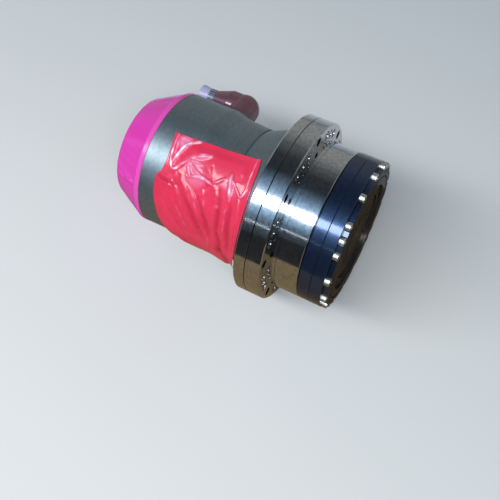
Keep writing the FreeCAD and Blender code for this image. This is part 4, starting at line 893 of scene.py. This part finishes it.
def from_line(x, s, points):
    """Distance in mm of every point from a line of (station, angle) points, and its share of the line."""
    nearest = np.full(x.shape, 1e9)
    way = np.zeros(x.shape)
    spans = len(points) - 1
    for k in range(spans):
        (x0, a0), (x1, a1) = points[k], points[k + 1]
        s0 = math.radians(a0) * arc_r
        s1 = math.radians(a1) * arc_r
        run = (x1 - x0) ** 2 + (s1 - s0) ** 2
        t = np.clip(((x - x0) * (x1 - x0) + (s - s0) * (s1 - s0)) / run, 0.0, 1.0)
        off = np.hypot(x - x0 - t * (x1 - x0), s - s0 - t * (s1 - s0))
        way = np.where(off < nearest, (k + t) / spans, way)
        nearest = np.minimum(nearest, off)
    return nearest, way


def pouch_base(u, v):
    """Height of the bag between its flat welds, how slack it is there, and the welds' deep tone."""
    width = 95.0
    height = 138.0
    left_weld = 8.0
    right_weld = 5.5
    top_weld = 3.5
    bag_slope = 9.0
    weld_height = 0.5
    bag_height = 1.9
    weld_tone = -0.65
    sides = np.minimum(u * width - left_weld, (1 - u) * width - right_weld)
    off_weld = np.minimum(sides, v * height - top_weld)
    bag = smooth(off_weld, 0.0, bag_slope)
    tone = weld_tone * (1.0 - smooth(off_weld, -1.0, 1.0)) * (1.0 - smooth(u, 0.3, 0.7))
    return weld_height + bag_height * bag, bag, tone


def small_crumples(x, s, bag):
    """Short random creases all over the slack bag, in mm."""
    draw = random.Random(5)
    lift = np.zeros(x.shape)
    for k in range(64):
        x0 = draw.uniform(-124.0, -44.0)
        a0 = draw.uniform(-112.0, -20.0)
        lean = draw.uniform(0.0, math.pi)
        reach = draw.uniform(6.0, 20.0)
        x1 = x0 + reach * math.cos(lean)
        a1 = a0 + math.degrees(reach * math.sin(lean) / arc_r)
        half = draw.uniform(2.0, 6.0)
        rise = draw.uniform(-0.5, 0.7)
        off = from_line(x, s, ((x0, a0), (x1, a1)))[0]
        lift += rise * bag * np.clip(1.0 - off / half, 0.0, 1.0)
    return lift


def pouch_lift(x, s, u, v):
    """Height in mm over the line the pouch rests on; its tone: painted highlight above 0, welds and painted
    shade below.
    """
    lift, bag, highlight_shade_and_weld = pouch_base(u, v)
    hem = 1.0 - smooth(v, 0.9, 1.0)
    patchy = 0.65 + 0.35 * np.sin(0.55 * x + 0.21 * s) * np.sin(0.31 * x - 0.47 * s)
    # Painted highlights: pale patches and pale strokes along fold crests. Painted shade: deep red in the
    # creases.
    for middle_x, middle_a, reach, pale in pouch_sheen_patches:
        off = np.hypot(x - middle_x, s - math.radians(middle_a) * arc_r)
        highlight_shade_and_weld = np.maximum(highlight_shade_and_weld, pale * (1.0 - smooth(off, 0.2 * reach, reach)))
    for points, rise, half, pale in pouch_folds:
        off, way = from_line(x, s, curved(points))
        taper = np.sqrt(np.sin(math.pi * (0.04 + 0.92 * way)))
        near = np.clip(1.0 - off / (half * (0.4 + 0.6 * taper)), 0.0, 1.0)
        rounded = smooth(near, 0.0, 1.0)
        lift += rise * hem * taper * (near ** 1.4 if rise > 0.0 else rounded)
        if pale > 0.0:
            highlight_shade_and_weld = np.maximum(highlight_shade_and_weld, pale * patchy * taper * smooth(near, 0.25, 0.8))
        else:
            highlight_shade_and_weld = highlight_shade_and_weld + pale * taper * rounded
    lift += small_crumples(x, s, bag)
    lift += smooth(v, 0.62, 1.0) * (1.5 + 4.0 * u)
    lift += 0.9 * smooth(v, 0.45, 0.9) * (1.0 - smooth(u, 0.0, 0.25))
    return np.maximum(lift, 0.35), highlight_shade_and_weld


def make_pouch():
    """The pouch as one sheet that keeps its painted highlights, welds and painted shade, its folds raised by
    code.
    """
    plan = pouch_plan()
    x = plan[:, :, 0]
    angle = np.radians(plan[:, :, 1])
    s = angle * arc_r
    u = np.linspace(0.0, 1.0, pouch_columns)[None, :] * np.ones((pouch_rows, 1))
    v = np.linspace(0.0, 1.0, pouch_rows)[:, None] * np.ones((1, pouch_columns))
    flare = np.clip((x - bridge_x) / (flange_rear_x - bridge_x), 0.0, 1.0)
    sag = waist_sag * np.exp(-((x - waist_sag_x) / waist_sag_reach) ** 2)
    lift, highlight_shade_and_weld = pouch_lift(x, s, u, v)
    r = motor_r + (flare_r - motor_r) * flare - sag + lift
    places = np.stack([x, r * np.sin(angle), r * np.cos(angle)], axis=-1).reshape(-1, 3) / mm_per_m
    faces = []
    for row in range(pouch_rows - 1):
        for k in range(pouch_columns - 1):
            a = row * pouch_columns + k
            faces.append((a, a + pouch_columns, a + pouch_columns + 1, a + 1))
    mesh = bpy.data.meshes.new("red_pouch")
    mesh.from_pydata([tuple(p) for p in places], [], faces)
    kept = mesh.attributes.new("highlight_shade_and_weld", "FLOAT", "POINT")
    kept.data.foreach_set("value", highlight_shade_and_weld.reshape(-1).astype(np.float32))
    pouch = bpy.data.objects.new("red_pouch", mesh)
    scene.collection.objects.link(pouch)
    return pouch


def pouch_sheen_shade_weld_masks(tree):
    """Masks of the painted highlights, pale and white, and of the deep tone of the double welds and painted
    crease shade.
    """
    highlight_shade_and_weld = tree.nodes.new("ShaderNodeAttribute")
    highlight_shade_and_weld.attribute_name = "highlight_shade_and_weld"
    pale = ranged(tree, highlight_shade_and_weld.outputs["Fac"], 0.0, 1.0, 0.05, 1.0)
    white = ranged(tree, highlight_shade_and_weld.outputs["Fac"], 0.0, 1.0, 0.45, 0.85)
    weld_and_crease_shade = ranged(tree, highlight_shade_and_weld.outputs["Fac"], 1.0, 0.0, -1.0, 0.0)
    return [pale, white, weld_and_crease_shade]


pouch = make_pouch()
give_thickness(pouch, 0.0003)
# Lavender and white are painted highlights; the deep red is the double welds and painted shade in the
# creases.
red_film = soft_film("red_film", deep=(0.60, 0.023, 0.058), thin=(0.73, 0.038, 0.090),
                     changed=[(0.90, 0.58, 0.90), (0.94, 0.86, 0.92), (0.22, 0.004, 0.015)],
                     rough=(0.14, 0.24), sheen=0.45, scale=300.0, masks_for=pouch_sheen_shade_weld_masks)
pouch.data.materials.append(red_film)
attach(pouch, "housing")
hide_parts("accessory_pouch")
